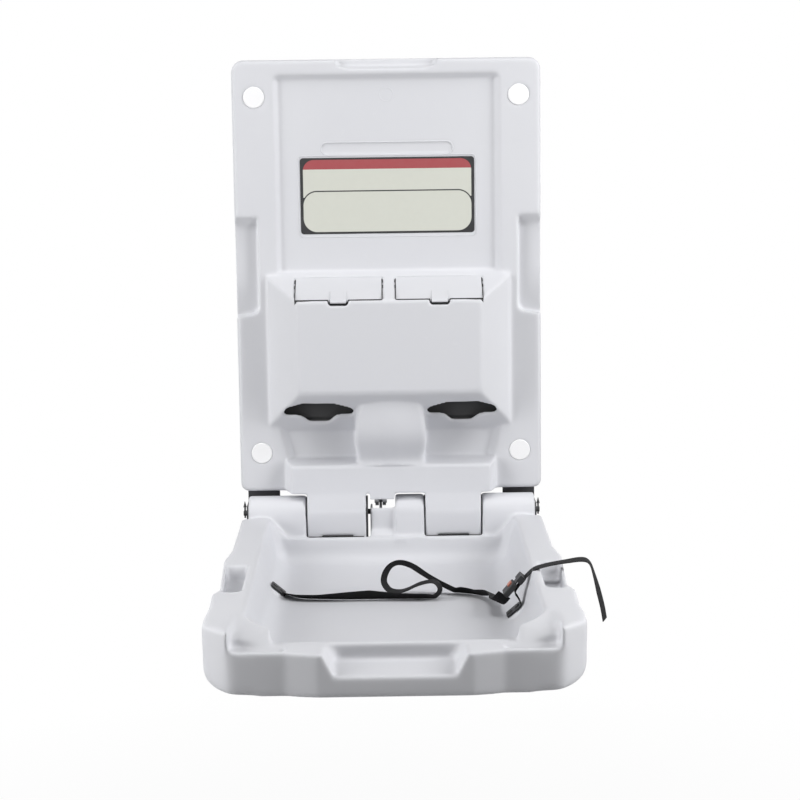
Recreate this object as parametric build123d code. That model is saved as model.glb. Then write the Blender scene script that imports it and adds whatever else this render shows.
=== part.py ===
from build123d import *
import math
import os

# A wall-mounted folding changing table. The origin is the centre of the four wall screws on the wall
# plane. X runs to the right, Y runs into the wall, and Z is up. The table is drawn folded down.
# "Reach" is a distance out from the wall, and "drop" a distance below the origin. On the bed,
# "span" is the distance in front of the hinge axis, and "depth" the distance below the rim.

# Wall casing, the moulded back shell
CASING_WIDTH = 565.0
CASING_TOP = 397.0
CASING_FOOT_DROP = 403.0
CASING_REACH = 46.0
CASING_TOP_CORNER = 22.0
CASING_FOOT_CORNER = 15.0
CASING_EDGE_RADIUS = 7.0

# Wall screws: their rectangle, wells, washers and the round caps that hide them
SCREW_SPACING_X = 484.0
SCREW_SPACING_Z = 660.0
SCREW_HOLE_RADIUS = 5.5
SCREW_WELL_RADIUS = 15.0
SCREW_WELL_FLOOR = 16.0
WASHER_RADIUS = 13.0
WASHER_THICKNESS = 2.5
CAP_RADIUS = 19.3
CAP_SEAT_DEPTH = 3.0
CAP_CROWN = 1.2
CAP_SKIRT_DEPTH = 8.0
CAP_SKIRT_WALL = 1.8
CAP_CLEARANCE = 0.1

# Recessed face of the casing and what is moulded in it
PANEL_HALF_WIDTH = 207.5
PANEL_TOP = 371.0
PANEL_RECESS = 10.0
PANEL_BEVEL = 10.0
PANEL_CORNER = 12.0
SCALLOP_HALF_WIDTH = 100.0
SCALLOP_HEIGHT = 22.0
SCALLOP_LEAN = 10.0
SCALLOP_RECESS = 12.0
NOTCH_INNER = 240.0
NOTCH_TOP = 113.0
NOTCH_FOOT_DROP = 66.0
NOTCH_RECESS = 16.0
NOTCH_SLOPE = 10.0
VENT_RADIUS = 12.0
VENT_LEVEL = 332.7
VENT_RECESS = 1.2
BAR_HALF_LENGTH = 121.0
BAR_HEIGHT = 22.0
BAR_LEVEL = 235.2
BAR_RECESS = 1.6
SIGN_HALF_WIDTH = 163.0
SIGN_TOP = 222.0
SIGN_FOOT = 73.0
SIGN_CORNER = 8.0
SIGN_RECESS = 0.8

# Liner box, the raised block in the middle of the casing, with the bays below it
BOX_BASE_HALF_WIDTH = 224.0
BOX_SIDE_HALF_WIDTH = 206.0
BOX_TOP = 5.0
BOX_FACE_TOP_DROP = 37.0
BOX_FACE_FOOT_DROP = 209.0
BOX_REACH = 125.0
BOX_FACE_RADIUS = 9.0
BOX_FOOT_RADIUS = 18.0
BOX_SIDE_RADIUS = 45.0
BOX_WALL = 8.0
BAY_FLOOR = 34.0
BAY_TOP_DROP = 291.0
BAY_FOOT_DROP = 341.0
BAY_TOP_HALF_WIDTH = 210.0
BAY_FOOT_HALF_WIDTH = 192.0
BAY_BEVEL = 15.0
LINER_SPACE_INNER = 18.0
LINER_SPACE_BACK = 48.0
SLOT_CENTRE = 132.5
SLOT_HALF_WIDTH = 63.5
SLOT_BACK = 52.5
SLOT_END_BACK = 70.0
SLOT_END_FRONT = 89.0
SLOT_FRONT = 102.0
SLOT_CROWN_HALF_WIDTH = 25.0
SLOT_DIP_HALF_WIDTH = 33.0
SLOT_DIP_FOOT_HALF_WIDTH = 18.0
SLOT_END_RADIUS = 8.5
SLOT_DIP_RADIUS = 14.0
SLOT_CROWN_RADIUS = 60.0

# Nose over the hinge, and the apron below the bays
NOSE_FOOT_HALF_WIDTH = 66.0
NOSE_WIDTH_SHARES = [0.58, 0.80, 0.91, 0.965, 0.99, 1.0, 1.0]
NOSE_REACH_SHARES = [0.86, 0.95, 0.99, 1.0, 0.93, 0.66, 0.0]
NOSE_TOP_DROP = 222.0
NOSE_REACH = 112.0
NOSE_WAIST_DROP = 285.0
NOSE_FOOT_REACH = 83.0
NOSE_RADIUS = 11.0
NOSE_TOP_RADIUS = 24.0
NOSE_BOW = 8.0
BADGE_HALF_WIDTH = 54.0
BADGE_TOP_DROP = 280.0
BADGE_FOOT_DROP = 317.0
BADGE_LINE_WIDTH = 1.4
BADGE_LINE_DEPTH = 0.8
APRON_BASE_HALF_WIDTH = 201.0
APRON_FACE_HALF_WIDTH = 186.0
APRON_REACH = 78.0
APRON_TOP_DROP = 350.0
APRON_FOOT_DROP = 403.5
APRON_LOW_FOOT_DROP = 415.2
APRON_RADIUS = 7.0

# Lids over the liner box
LID_INNER = 13.3
LID_OUTER = 170.6
LID_GAP = 1.2
LID_THICKNESS = 3.0
LID_HINGE_REACH = 57.0
LID_FOLD_REACH = 96.0
LID_FRONT_REACH = 119.0
LID_LIP_DROP = 2.5
LID_BARREL_RADIUS = 3.2
LID_SEAT_CLEARANCE = 0.5
LID_RIM = 6.0
LID_PIN_RADIUS = 1.5
LID_PIN_LENGTH = 13.0
LID_RIB_HEIGHT = 4.0
LID_RIB_THICKNESS = 2.0
TAB_WIDTH = 29.0
TAB_CENTRE = 92.5
TAB_REACH = 3.0
TAB_THICKNESS = 4.5
FINGER_WIDTH = 36.0
FINGER_DEPTH = 4.0

# Main hinge: a steel rod through knuckles of the casing and of the bed
HINGE_REACH = 52.0
HINGE_DROP = 443.0
KNUCKLE_RADIUS = 32.0
KNUCKLE_GAP = 2.5
KNUCKLE_EDGE = 3.0
LEFT_OUTER_JOINT = 158.8
LEFT_INNER_JOINT = 44.0
LEFT_INNER_GAP = 8.0
RIGHT_INNER_JOINT = 61.8
RIGHT_OUTER_JOINT = 168.2
KNUCKLE_OUTER_END = 268.0
LOW_KNUCKLE_RADIUS = 24.0
LOW_KNUCKLE_RISE = 11.0
LOW_KNUCKLE_SHOULDER_DROP = 28.0
LOW_KNUCKLE_WALL = 5.0
LOW_KNUCKLE_SIDE_WALL = 4.0
LOW_KNUCKLE_FLOOR = 14.0
LOW_KNUCKLE_END = 7.0
ROD_RADIUS = 5.0
ROD_HALF_LENGTH = 278.5
RUNNING_CLEARANCE = 0.05
SEAT_CLEARANCE = 0.02
BUSH_RADIUS = 8.0
BUSH_LENGTH = 20.0
HEEL_DROP = 500.0
HEEL_BACK = 26.0
PAD_WIDTH = 60.0
PAD_HEIGHT = 12.0
PAD_SEAT = 4.0
PAD_LEVEL_DROP = 487.0
PAD_CLEARANCE = 0.3

# Steel mounting rails behind the casing, which carry the rod at their ears
RAIL_INNER = 212.0
RAIL_OUTER = 272.2
RAIL_THICKNESS = 4.0
RAIL_TOP = 365.0
RAIL_FOOT_DROP = 470.0
RAIL_CLEARANCE = 0.4
EAR_THICKNESS = 3.2
EAR_HALF_HEIGHT = 13.0
COTTER_X = 275.8
COTTER_RADIUS = 1.6
COTTER_HEAD_RADIUS = 3.2
COTTER_HEAD_TOP = 22.5
COTTER_HEAD_LENGTH = 11.0
COTTER_TAIL = 9.0

# Gas strut in the back of the casing, and the crank on the bed that it works on
STRUT_X = -20.5
STRUT_TOP_REACH = 27.0
STRUT_TOP_DROP = 190.0
BARREL_RADIUS = 9.0
BARREL_BORE_RADIUS = 7.4
BARREL_LENGTH = 150.0
BARREL_NECK = 13.0
BARREL_EYE_RADIUS = 8.5
BARREL_EYE_WIDTH = 10.0
GLAND_LENGTH = 10.0
PISTON_LENGTH = 12.0
PISTON_START = 32.0
PISTON_CLEARANCE = 0.08
STRUT_ROD_RADIUS = 4.0
STRUT_PIN_RADIUS = 4.0
STRUT_PIN_HALF_LENGTH = 19.0
CRANK_BACK = 22.0
CRANK_RISE = 17.0
CRANK_THICKNESS = 5.0
CRANK_HUB_RADIUS = 9.0
CRANK_EYE_RADIUS = 7.5
CRANK_FOOT_HALF_WIDTH = 10.0
CRANK_FOOT_LENGTH = 20.0
CRANK_FOOT_THICKNESS = 3.0
CRANK_SCREW_RADIUS = 2.2
CRANK_SCREW_HEAD_RADIUS = 3.5
CRANK_SCREW_HEAD_HEIGHT = 2.2
CRANK_SCREW_LENGTH = 14.0
CLEVIS_WIDTH = 20.0
CLEVIS_RADIUS = 10.0
CLEVIS_FORK_GAP = 1.0
CLEVIS_SPARE = 0.7
CLEVIS_LENGTH = 38.0
CLEVIS_FORK_RISE = 29.0
CLEVIS_SOCKET = 7.0
CLEVIS_NECK_RADIUS = 7.0
CRANK_PIN_HEAD_RADIUS = 5.5
CRANK_PIN_HEAD_LENGTH = 1.5
STRUT_SPACE_HALF_WIDTH = 15.0
STRUT_SPACE_REACH = 43.0
STRUT_MOUTH_REACH = 46.0
STRUT_MOUTH_TOP_DROP = 365.0
STRUT_SPACE_TOP_DROP = 175.0

# Folding bed
RIM_DROP = 445.0
BED_DEPTH = 98.0
BED_REAR = 37.0
BED_REACH = 888.0
BED_SIDE_RADIUS = 38.0
BED_FOOT_RADIUS = 14.0
BED_RIM_RADIUS = 5.0
BED_REAR_HALF_WIDTH = 268.0
BED_SHOULDER_HALF_WIDTH = 279.5
BED_POCKET_HALF_WIDTH = 288.0
BED_STEP_HALF_WIDTH = 290.0
BED_POST_HALF_WIDTH = 285.0
BED_CORNER_HALF_WIDTH = 245.0
BED_FACET_OUTER = 165.0
BED_FACET_INNER = 115.0
BED_SHOULDER_REACH = 92.0
BED_POCKET_REACH = 415.0
BED_WAIST_REACH = 612.0
BED_STEP_LENGTH = 34.0
BED_POST_SETBACK = 61.0
BED_CORNER_SETBACK = 20.0
BED_FACET_SETBACK = 5.0
BASIN_HALF_WIDTH = 229.0
BASIN_REAR_REACH = 94.5
BASIN_FRONT_SETBACK = 74.0
BASIN_DEPTH = 83.0
BASIN_TAPER = 13.0
BASIN_FRONT_CORNER = 60.0
BASIN_REAR_CORNER = 34.0
BASIN_FLOOR_RADIUS = 34.0
BASIN_RIM_RADIUS = 4.0
LIP_DEPTH = 38.0
LIP_HALF_WIDTH = 193.0
LIP_TOP_HALF_WIDTH = 229.0
LIP_REACH = 106.0
SHELF_DEPTH = 34.0
SHELF_EDGE_RADIUS = 6.0
POST_INNER = 245.0
STEP_SETBACK = 50.0
STEP_HEIGHT = 15.0
STEP_HALF_WIDTH = 187.0
RAMP_SETBACK = 75.0
POCKET_INNER = 244.0
POCKET_FRONT_MARGIN = 21.0
POCKET_LENGTH = 177.0
POCKET_DEPTH = 26.0
POCKET_WALL = 5.5
POCKET_CORNER = 16.0
POCKET_REAR_SLOPE = 12.0
GRIP_HALF_WIDTH = 108.0
GRIP_FOOT_HALF_WIDTH = 90.0
GRIP_SETBACK = 67.0
GRIP_BACK_DEPTH = 60.0
GRIP_FRONT_DEPTH = 68.0
GRIP_CORNER = 18.0

# Restraint straps: flat webbing held by a screwed plate on a moulded boss at each side of the basin.
# The left strap lies loose and loops over itself. The right one goes over the rim, its tail hanging.
STRAP_WIDTH = 25.0
STRAP_THICKNESS = 1.6
ANCHOR_LENGTH = 30.0
ANCHOR_WIDTH = 30.0
ANCHOR_THICKNESS = 2.0
ANCHOR_TILT = 40.0
ANCHOR_CORNER = 4.0
ANCHOR_SPAN = 28.5
ANCHOR_REACH_LEFT = 350.0
BOSS_MARGIN = 2.0
BOSS_DEPTH = 14.0
ANCHOR_SCREW_RADIUS = 2.3
ANCHOR_SCREW_HEAD_RADIUS = 4.5
ANCHOR_SCREW_HEAD_HEIGHT = 2.0
ANCHOR_SCREW_LENGTH = 12.0
ANCHOR_SCREW_SPACING = 15.0
STRAP_SEGMENTS = 44
LOOP_PATH = [
    (-172.0, 356.0, 1.4), (-120.0, 376.0, 4.0), (-84.0, 380.0, 5.0), (-40.0, 372.0, 10.0),
    (10.0, 378.0, 5.0), (52.0, 386.0, 8.0), (80.0, 372.0, 16.0), (80.0, 344.0, 28.0), (48.0, 324.0, 36.0),
    (10.0, 326.0, 42.0), (-10.0, 350.0, 50.0), (2.0, 384.0, 58.0), (30.0, 396.0, 52.0), (62.0, 388.0, 32.0),
    (92.0, 362.0, 12.0), (118.0, 352.0, 4.0), (142.0, 380.0, 8.0), (162.0, 440.0, 20.0)
]
LOOP_TILTS = [
    0.0, 6.0, 15.0, 38.0, 16.0, 26.0, 60.0, 76.0, 80.0, 82.0, 84.0, 80.0, 72.0, 58.0, 36.0, 16.0, 20.0,
    14.0, 0.0
]
TAIL_RISE = 14.0
TAIL_OUT = 58.0
TAIL_END_DROP = 556.0
TAIL_BEND = 9.0

# Push-button buckle, leaning on the basin's right wall: female body, button and tongue with adjuster
BUCKLE_TILT = 50.0
BUCKLE_FOOT_X = 184.5
BUCKLE_FOOT_DEPTH = 43.0
BUCKLE_REACH = 512.0
BUCKLE_WIDTH = 30.0
BUCKLE_THICKNESS = 10.0
BUCKLE_LENGTH = 26.0
BUCKLE_EDGE = 2.0
TONGUE_START = 14.5
TONGUE_WIDTH = 22.0
TONGUE_THICKNESS = 2.0
TONGUE_CLEARANCE = 0.3
ADJUSTER_START = 32.0
ADJUSTER_LENGTH = 12.0
ADJUSTER_TOP = 3.0
WEBBING_LINE = 6.2
WEBBING_CLEARANCE = 0.25
BUTTON_START = 14.6
BUTTON_LENGTH = 9.0
BUTTON_WIDTH = 13.0
BUTTON_TRAVEL = 2.0
BUTTON_PROUD = 2.2
BUTTON_FLOOR = 1.8
BUTTON_CLEARANCE = 0.2

CUT = 20.0


def outline(points, radii, plane=Plane.XY):
    """A closed face on a plane, from corner points with one radius for each corner."""
    wire = FilletPolyline(*points, radius=radii, close=True)
    return plane * make_face(wire)


def both_sides(points, radii):
    """The right half of an outline, completed to the left."""
    left = [(-x, y) for x, y in reversed(points)]
    return list(points) + left, list(radii) + list(reversed(radii))


def front_plane(reach):
    """A plane that faces the viewer, at a reach from the wall."""
    return Plane.XZ.offset(reach)


def side_prism(points, radii, x_from, x_to):
    """A prism along X, from a profile of (reach, height) points."""
    profile = [(-reach, height) for reach, height in points]
    face = outline(profile, radii, Plane.YZ.offset(x_from))
    return extrude(face, x_to - x_from)


def plan_prism(points, radii, z_from, z_to):
    """A prism along Z, from a plan of (x, reach) points."""
    plan = [(x, -reach) for x, reach in points]
    face = outline(plan, radii, Plane.XY.offset(z_from))
    return extrude(face, z_to - z_from)


def box_between(x_from, x_to, reach_from, reach_to, z_from, z_to):
    corner = Location((x_from, -reach_to, z_from))
    size = (x_to - x_from, reach_to - reach_from, z_to - z_from)
    return corner * Box(*size, align=(Align.MIN, Align.MIN, Align.MIN))


def bar_along_x(radius, x_from, x_to, reach, height):
    start = Plane.YZ.offset(x_from) * Location((-reach, height))
    return extrude(start * Circle(radius), x_to - x_from)


def hinge_bar(radius, x_from, x_to):
    return bar_along_x(radius, x_from, x_to, HINGE_REACH, -HINGE_DROP)


def stud_from_wall(radius, x, z, reach_from, reach_to):
    start = front_plane(reach_from) * Location((x, z))
    return extrude(start * Circle(radius), reach_to - reach_from)


def mirror_x(shape):
    return mirror(shape, about=Plane.YZ)


def group(shapes):
    return Compound(children=[piece for shape in shapes for piece in shape.solids()])


SCREW_PLACES = [
    (side * SCREW_SPACING_X / 2, level * SCREW_SPACING_Z / 2)
    for side in (-1, 1)
    for level in (-1, 1)
]
BOX_SLOPE = (BOX_TOP + BOX_FACE_TOP_DROP) / (BOX_REACH - CASING_REACH)
UNDER_SLOPE = (BAY_TOP_DROP - BOX_FACE_FOOT_DROP) / (BOX_REACH - BAY_FLOOR)
PANEL_FLOOR = CASING_REACH - PANEL_RECESS
BOX_SIDE_LEAN = (BOX_BASE_HALF_WIDTH - BOX_SIDE_HALF_WIDTH) / (BOX_REACH - CASING_REACH)


BED_STEP_REACH = BED_WAIST_REACH + BED_STEP_LENGTH
BED_POST_REACH = BED_REACH - BED_POST_SETBACK
BED_CORNER_REACH = BED_REACH - BED_CORNER_SETBACK
BED_FACET_REACH = BED_REACH - BED_FACET_SETBACK
BASIN_FRONT_REACH = BED_REACH - BASIN_FRONT_SETBACK
STEP_REACH = BED_REACH - STEP_SETBACK
RAMP_START_REACH = BED_REACH - RAMP_SETBACK
GRIP_BACK_REACH = BED_REACH - GRIP_SETBACK
POCKET_FRONT_REACH = BED_WAIST_REACH + POCKET_FRONT_MARGIN
POCKET_REAR_REACH = POCKET_FRONT_REACH - POCKET_LENGTH


def box_top_at(reach):
    """Height of the liner box's sloping top."""
    return BOX_TOP - (reach - CASING_REACH) * BOX_SLOPE


def box_under_at(reach):
    """Height of the liner box's sloping underside."""
    return -BAY_TOP_DROP + (reach - BAY_FLOOR) * UNDER_SLOPE


# Casing


def casing_slab():
    half = CASING_WIDTH / 2
    points = [(half, -CASING_FOOT_DROP), (half, CASING_TOP)]
    face = outline(*both_sides(points, [CASING_FOOT_CORNER, CASING_TOP_CORNER]), Plane.XZ)
    slab = extrude(face, CASING_REACH)
    return fillet(slab.faces().sort_by(Axis.Y)[0].edges(), CASING_EDGE_RADIUS)


def panel_cut():
    points = [(PANEL_HALF_WIDTH, -BOX_WALL - CUT), (PANEL_HALF_WIDTH, PANEL_TOP)]
    face = outline(*both_sides(points, [0, PANEL_CORNER]), front_plane(CASING_REACH))
    lean = math.degrees(math.atan2(PANEL_BEVEL, PANEL_RECESS))
    return extrude(face, -PANEL_RECESS, taper=lean)


def scallop_cut():
    foot = CASING_TOP - SCALLOP_HEIGHT
    points = [
        (SCALLOP_HALF_WIDTH - SCALLOP_LEAN, foot), (SCALLOP_HALF_WIDTH + SCALLOP_LEAN, CASING_TOP + CUT)
    ]
    face = outline(*both_sides(points, [SCALLOP_LEAN, 0]), front_plane(CASING_REACH + CASING_EDGE_RADIUS))
    lean = math.degrees(math.atan2(SCALLOP_LEAN, SCALLOP_RECESS + CASING_EDGE_RADIUS))
    return extrude(face, -SCALLOP_RECESS - CASING_EDGE_RADIUS, taper=lean)


def notch_cut():
    """Hand recess in the right edge of the casing, deepest at its foot."""
    edge = CASING_WIDTH / 2 + CUT
    foot = -NOTCH_FOOT_DROP
    points = [
        (NOTCH_INNER, foot), (edge, foot - NOTCH_SLOPE), (edge, NOTCH_TOP + NOTCH_SLOPE),
        (NOTCH_INNER, NOTCH_TOP)
    ]
    face = outline(points, [NOTCH_RECESS, 0, 0, 0], front_plane(CASING_REACH - NOTCH_RECESS))
    tool = extrude(face, NOTCH_RECESS + CUT)
    floor = CASING_REACH - NOTCH_RECESS
    ramp = side_prism(
        [
            (floor, foot - CUT), (floor, NOTCH_TOP - CUT), (CASING_REACH, NOTCH_TOP),
            (CASING_REACH + CUT, NOTCH_TOP), (CASING_REACH + CUT, foot - CUT)
        ],
        [0, CUT, 0, 0, 0], NOTCH_INNER - CUT, edge + CUT
    )
    return tool & ramp


def liner_box():
    back = BAY_FLOOR - CUT / 4
    side = side_prism(
        [
            (back, box_top_at(back)), (BOX_REACH, -BOX_FACE_TOP_DROP), (BOX_REACH, -BOX_FACE_FOOT_DROP),
            (back, box_under_at(back))
        ],
        [0, BOX_FACE_RADIUS, BOX_FOOT_RADIUS, 0], -CASING_WIDTH / 2, CASING_WIDTH / 2
    )
    base = BOX_BASE_HALF_WIDTH + BOX_SIDE_LEAN * (CASING_REACH - back)
    points = [(BOX_SIDE_HALF_WIDTH, BOX_REACH), (base, back)]
    plan = plan_prism(*both_sides(points, [BOX_SIDE_RADIUS, 0]), -BAY_FOOT_DROP, BOX_TOP + CUT)
    return side & plan


def bay_cut():
    """The recess under the slots, with slanted outer walls."""
    top = -BAY_TOP_DROP + BAY_BEVEL
    foot = -BAY_FOOT_DROP - BAY_BEVEL
    points = [(BAY_FOOT_HALF_WIDTH, foot), (BAY_TOP_HALF_WIDTH, top)]
    face = outline(*both_sides(points, [0, 0]), front_plane(CASING_REACH))
    depth = CASING_REACH - BAY_FLOOR
    return extrude(face, -depth, taper=math.degrees(math.atan2(BAY_BEVEL, depth)))


def nose():
    """The domed cover over the strut, lofted through level sections from the box to the apron."""
    drops = [
        NOSE_TOP_DROP - NOSE_RADIUS, NOSE_TOP_DROP + NOSE_RADIUS / 3, NOSE_TOP_DROP + NOSE_TOP_RADIUS * 0.8
    ]
    drops = drops + [(NOSE_TOP_DROP + NOSE_WAIST_DROP) / 2 + NOSE_RADIUS, NOSE_WAIST_DROP]
    drops = drops + [(NOSE_WAIST_DROP * 2 + APRON_TOP_DROP) / 3, APRON_TOP_DROP]
    sections = []
    for drop, width_share, reach_share in zip(drops, NOSE_WIDTH_SHARES, NOSE_REACH_SHARES):
        half = NOSE_FOOT_HALF_WIDTH * width_share
        reach = NOSE_FOOT_REACH + (NOSE_REACH - NOSE_FOOT_REACH) * reach_share
        plan = [(0, -reach), (half, NOSE_BOW - reach), (half, -BAY_FLOOR)]
        left = [(-half, -BAY_FLOOR), (-half, NOSE_BOW - reach)]
        radii = [NOSE_FOOT_HALF_WIDTH * 2, NOSE_RADIUS, 0, 0, NOSE_RADIUS]
        sections.append(outline(plan + left, radii, Plane.XY.offset(-drop)))
    return loft(sections)


def apron():
    back = BAY_FLOOR - CUT / 2
    side = side_prism(
        [
            (back, -BAY_FOOT_DROP), (BAY_FLOOR, -BAY_FOOT_DROP), (APRON_REACH, -APRON_TOP_DROP),
            (APRON_REACH, -APRON_FOOT_DROP), (back, -APRON_FOOT_DROP)
        ],
        [0, 0, APRON_RADIUS, 0, 0], -CASING_WIDTH / 2, CASING_WIDTH / 2
    )
    lean = (APRON_BASE_HALF_WIDTH - APRON_FACE_HALF_WIDTH) / (APRON_REACH - CASING_REACH)
    base = APRON_BASE_HALF_WIDTH + lean * (CASING_REACH - back)
    points = [(APRON_FACE_HALF_WIDTH, APRON_REACH + SEAT_CLEARANCE), (base, back - CUT)]
    return side & plan_prism(
        *both_sides(points, [APRON_RADIUS, 0]), -APRON_FOOT_DROP - CUT, -BAY_FOOT_DROP + CUT
    )


def apron_drop():
    """The lower middle of the apron, over the low part of the bed's middle knuckle."""
    x_from = -LEFT_INNER_JOINT + LEFT_INNER_GAP / 2
    x_to = LOW_KNUCKLE_END - KNUCKLE_GAP / 2
    return box_between(
        x_from, x_to, STRUT_MOUTH_REACH - CUT, APRON_REACH, -APRON_LOW_FOOT_DROP,
        -APRON_FOOT_DROP + APRON_RADIUS
    )


def casing_knuckle(x_from, x_to):
    """Hinge knuckle of the casing: a barrel under the apron, with a heel that stops the bed."""
    back = HINGE_REACH - HEEL_BACK
    front = HINGE_REACH + KNUCKLE_RADIUS
    top = -APRON_FOOT_DROP + APRON_RADIUS
    web = side_prism(
        [
            (back, top), (APRON_REACH, top), (APRON_REACH, -APRON_FOOT_DROP), (front, -HINGE_DROP),
            (front, -HEEL_DROP), (back, -HEEL_DROP)
        ],
        [0, 0, KNUCKLE_RADIUS, KNUCKLE_RADIUS, APRON_RADIUS, APRON_RADIUS], x_from, x_to
    )
    return web + hinge_bar(KNUCKLE_RADIUS, x_from, x_to)


def liner_space():
    """Room for the paper liners on the right, from the lid down to the slot."""
    front = BOX_REACH - BOX_WALL
    back = LINER_SPACE_BACK
    lid_seat = (LID_THICKNESS + LID_SEAT_CLEARANCE) * 2
    side = side_prism(
        [(back, box_top_at(back) - lid_seat - BOX_WALL), (front, box_top_at(front) - lid_seat - BOX_WALL),
         (front, box_under_at(front) + BOX_WALL), (back, box_under_at(back) + BOX_WALL)],
        [0, BOX_FACE_RADIUS, BOX_FACE_RADIUS, 0], -CASING_WIDTH / 2, CASING_WIDTH / 2)
    base = BOX_BASE_HALF_WIDTH + BOX_SIDE_LEAN * (CASING_REACH - back) - BOX_WALL
    reach = front + SEAT_CLEARANCE
    points = [
        (LINER_SPACE_INNER, back - CUT), (LINER_SPACE_INNER, reach),
        (BOX_SIDE_HALF_WIDTH - BOX_WALL, reach), (base, back - CUT)
    ]
    plan = plan_prism(
        points, [0, BOX_FACE_RADIUS, BOX_SIDE_RADIUS - BOX_WALL, 0], -BAY_FOOT_DROP, BOX_TOP + CUT
    )
    return side & plan


def slot_cut():
    """The smile-shaped slot on the right, through the sloping underside of the liner box."""
    points = [
        (SLOT_DIP_FOOT_HALF_WIDTH, SLOT_BACK), (SLOT_DIP_HALF_WIDTH, SLOT_END_BACK),
        (SLOT_HALF_WIDTH, SLOT_END_BACK), (SLOT_HALF_WIDTH, SLOT_END_FRONT),
        (SLOT_CROWN_HALF_WIDTH, SLOT_FRONT)
    ]
    radii = [SLOT_DIP_RADIUS, SLOT_DIP_RADIUS, SLOT_END_RADIUS, SLOT_END_RADIUS, SLOT_CROWN_RADIUS]
    tool = Location((SLOT_CENTRE, 0, 0)) * plan_prism(
        *both_sides(points, radii), -BAY_FOOT_DROP, -BOX_FACE_FOOT_DROP + CUT
    )
    wall = side_prism(
        [
            (0, box_under_at(0) - CUT), (BOX_REACH, box_under_at(BOX_REACH) - CUT),
            (BOX_REACH, box_under_at(BOX_REACH) + BOX_WALL * 2), (0, box_under_at(0) + BOX_WALL * 2)
        ],
        [0, 0, 0, 0], 0, CASING_WIDTH / 2
    )
    return tool & wall


def lid_seat_cut():
    """The recess that the right lid lies in, the opening under it and the finger dip at its tab."""
    hinge_top = box_top_at(LID_HINGE_REACH)
    seat = LID_THICKNESS + LID_SEAT_CLEARANCE + LID_GAP
    rear = LID_HINGE_REACH - LID_BARREL_RADIUS - LID_GAP
    front = LID_FRONT_REACH + LID_GAP
    groove = hinge_top - 2 * LID_BARREL_RADIUS - LID_GAP - LID_SEAT_CLEARANCE
    step = LID_HINGE_REACH + LID_BARREL_RADIUS + LID_GAP
    recess = side_prism(
        [
            (rear, hinge_top + CUT), (rear, groove), (step, groove), (step, box_top_at(step) - seat),
            (LID_FOLD_REACH, box_top_at(LID_FOLD_REACH) - seat),
            (front, box_top_at(front) - seat - LID_LIP_DROP), (front, hinge_top + CUT)
        ],
        [0] * 7, LID_INNER - LID_GAP, LID_OUTER + LID_GAP
    )
    opening = box_between(
        LID_INNER + LID_RIM, LID_OUTER - LID_RIM, step + LID_RIM, front - LID_RIM * 2,
        -BOX_FACE_TOP_DROP - CUT * 2, hinge_top
    )
    finger = box_between(
        TAB_CENTRE - FINGER_WIDTH / 2, TAB_CENTRE + FINGER_WIDTH / 2, LID_FRONT_REACH - FINGER_DEPTH,
        BOX_REACH + CUT, box_top_at(front) - seat - LID_LIP_DROP - FINGER_DEPTH, hinge_top
    )
    return recess + opening + finger


def lid_pins(x_from):
    """The two pins of a lid whose left end is at x_from, each half in the lid and half in the casing."""
    axis_height = box_top_at(LID_HINGE_REACH) - LID_BARREL_RADIUS
    half = LID_PIN_LENGTH / 2
    width = LID_OUTER - LID_INNER
    return [
        bar_along_x(LID_PIN_RADIUS, x - half, x + half, LID_HINGE_REACH, axis_height)
        for x in (x_from - LID_GAP / 2, x_from + width + LID_GAP / 2)
    ]


def lid_pin_holes(clearance):
    axis_height = box_top_at(LID_HINGE_REACH) - LID_BARREL_RADIUS
    half = LID_PIN_LENGTH / 2 + LID_SEAT_CLEARANCE
    holes = [
        bar_along_x(LID_PIN_RADIUS + clearance, x - half, x + half, LID_HINGE_REACH, axis_height)
        for x in (LID_INNER - LID_GAP / 2, LID_OUTER + LID_GAP / 2)
    ]
    return holes[0] + holes[1]


def strut_space():
    x_from = STRUT_X - STRUT_SPACE_HALF_WIDTH
    x_to = STRUT_X + STRUT_SPACE_HALF_WIDTH
    foot = -APRON_LOW_FOOT_DROP - CUT
    upper = box_between(x_from, x_to, -CUT, STRUT_SPACE_REACH, foot, -STRUT_SPACE_TOP_DROP)
    mouth = box_between(x_from, x_to, -CUT, STRUT_MOUTH_REACH, foot, -STRUT_MOUTH_TOP_DROP)
    return upper + mouth


def rail_channel(clearance):
    """Room for the right rail in the back of the casing."""
    return box_between(
        RAIL_INNER - clearance, RAIL_OUTER + clearance, -CUT, RAIL_THICKNESS + clearance,
        -CASING_FOOT_DROP - CUT, RAIL_TOP + clearance
    )


def screw_well(x, z):
    hole = stud_from_wall(SCREW_HOLE_RADIUS, x, z, -CUT, CASING_REACH)
    well = stud_from_wall(SCREW_WELL_RADIUS, x, z, SCREW_WELL_FLOOR, CASING_REACH + CUT)
    seat = stud_from_wall(
        CAP_RADIUS + CAP_CLEARANCE, x, z, CASING_REACH - CAP_SEAT_DEPTH, CASING_REACH + CUT
    )
    return hole + well + seat


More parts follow.
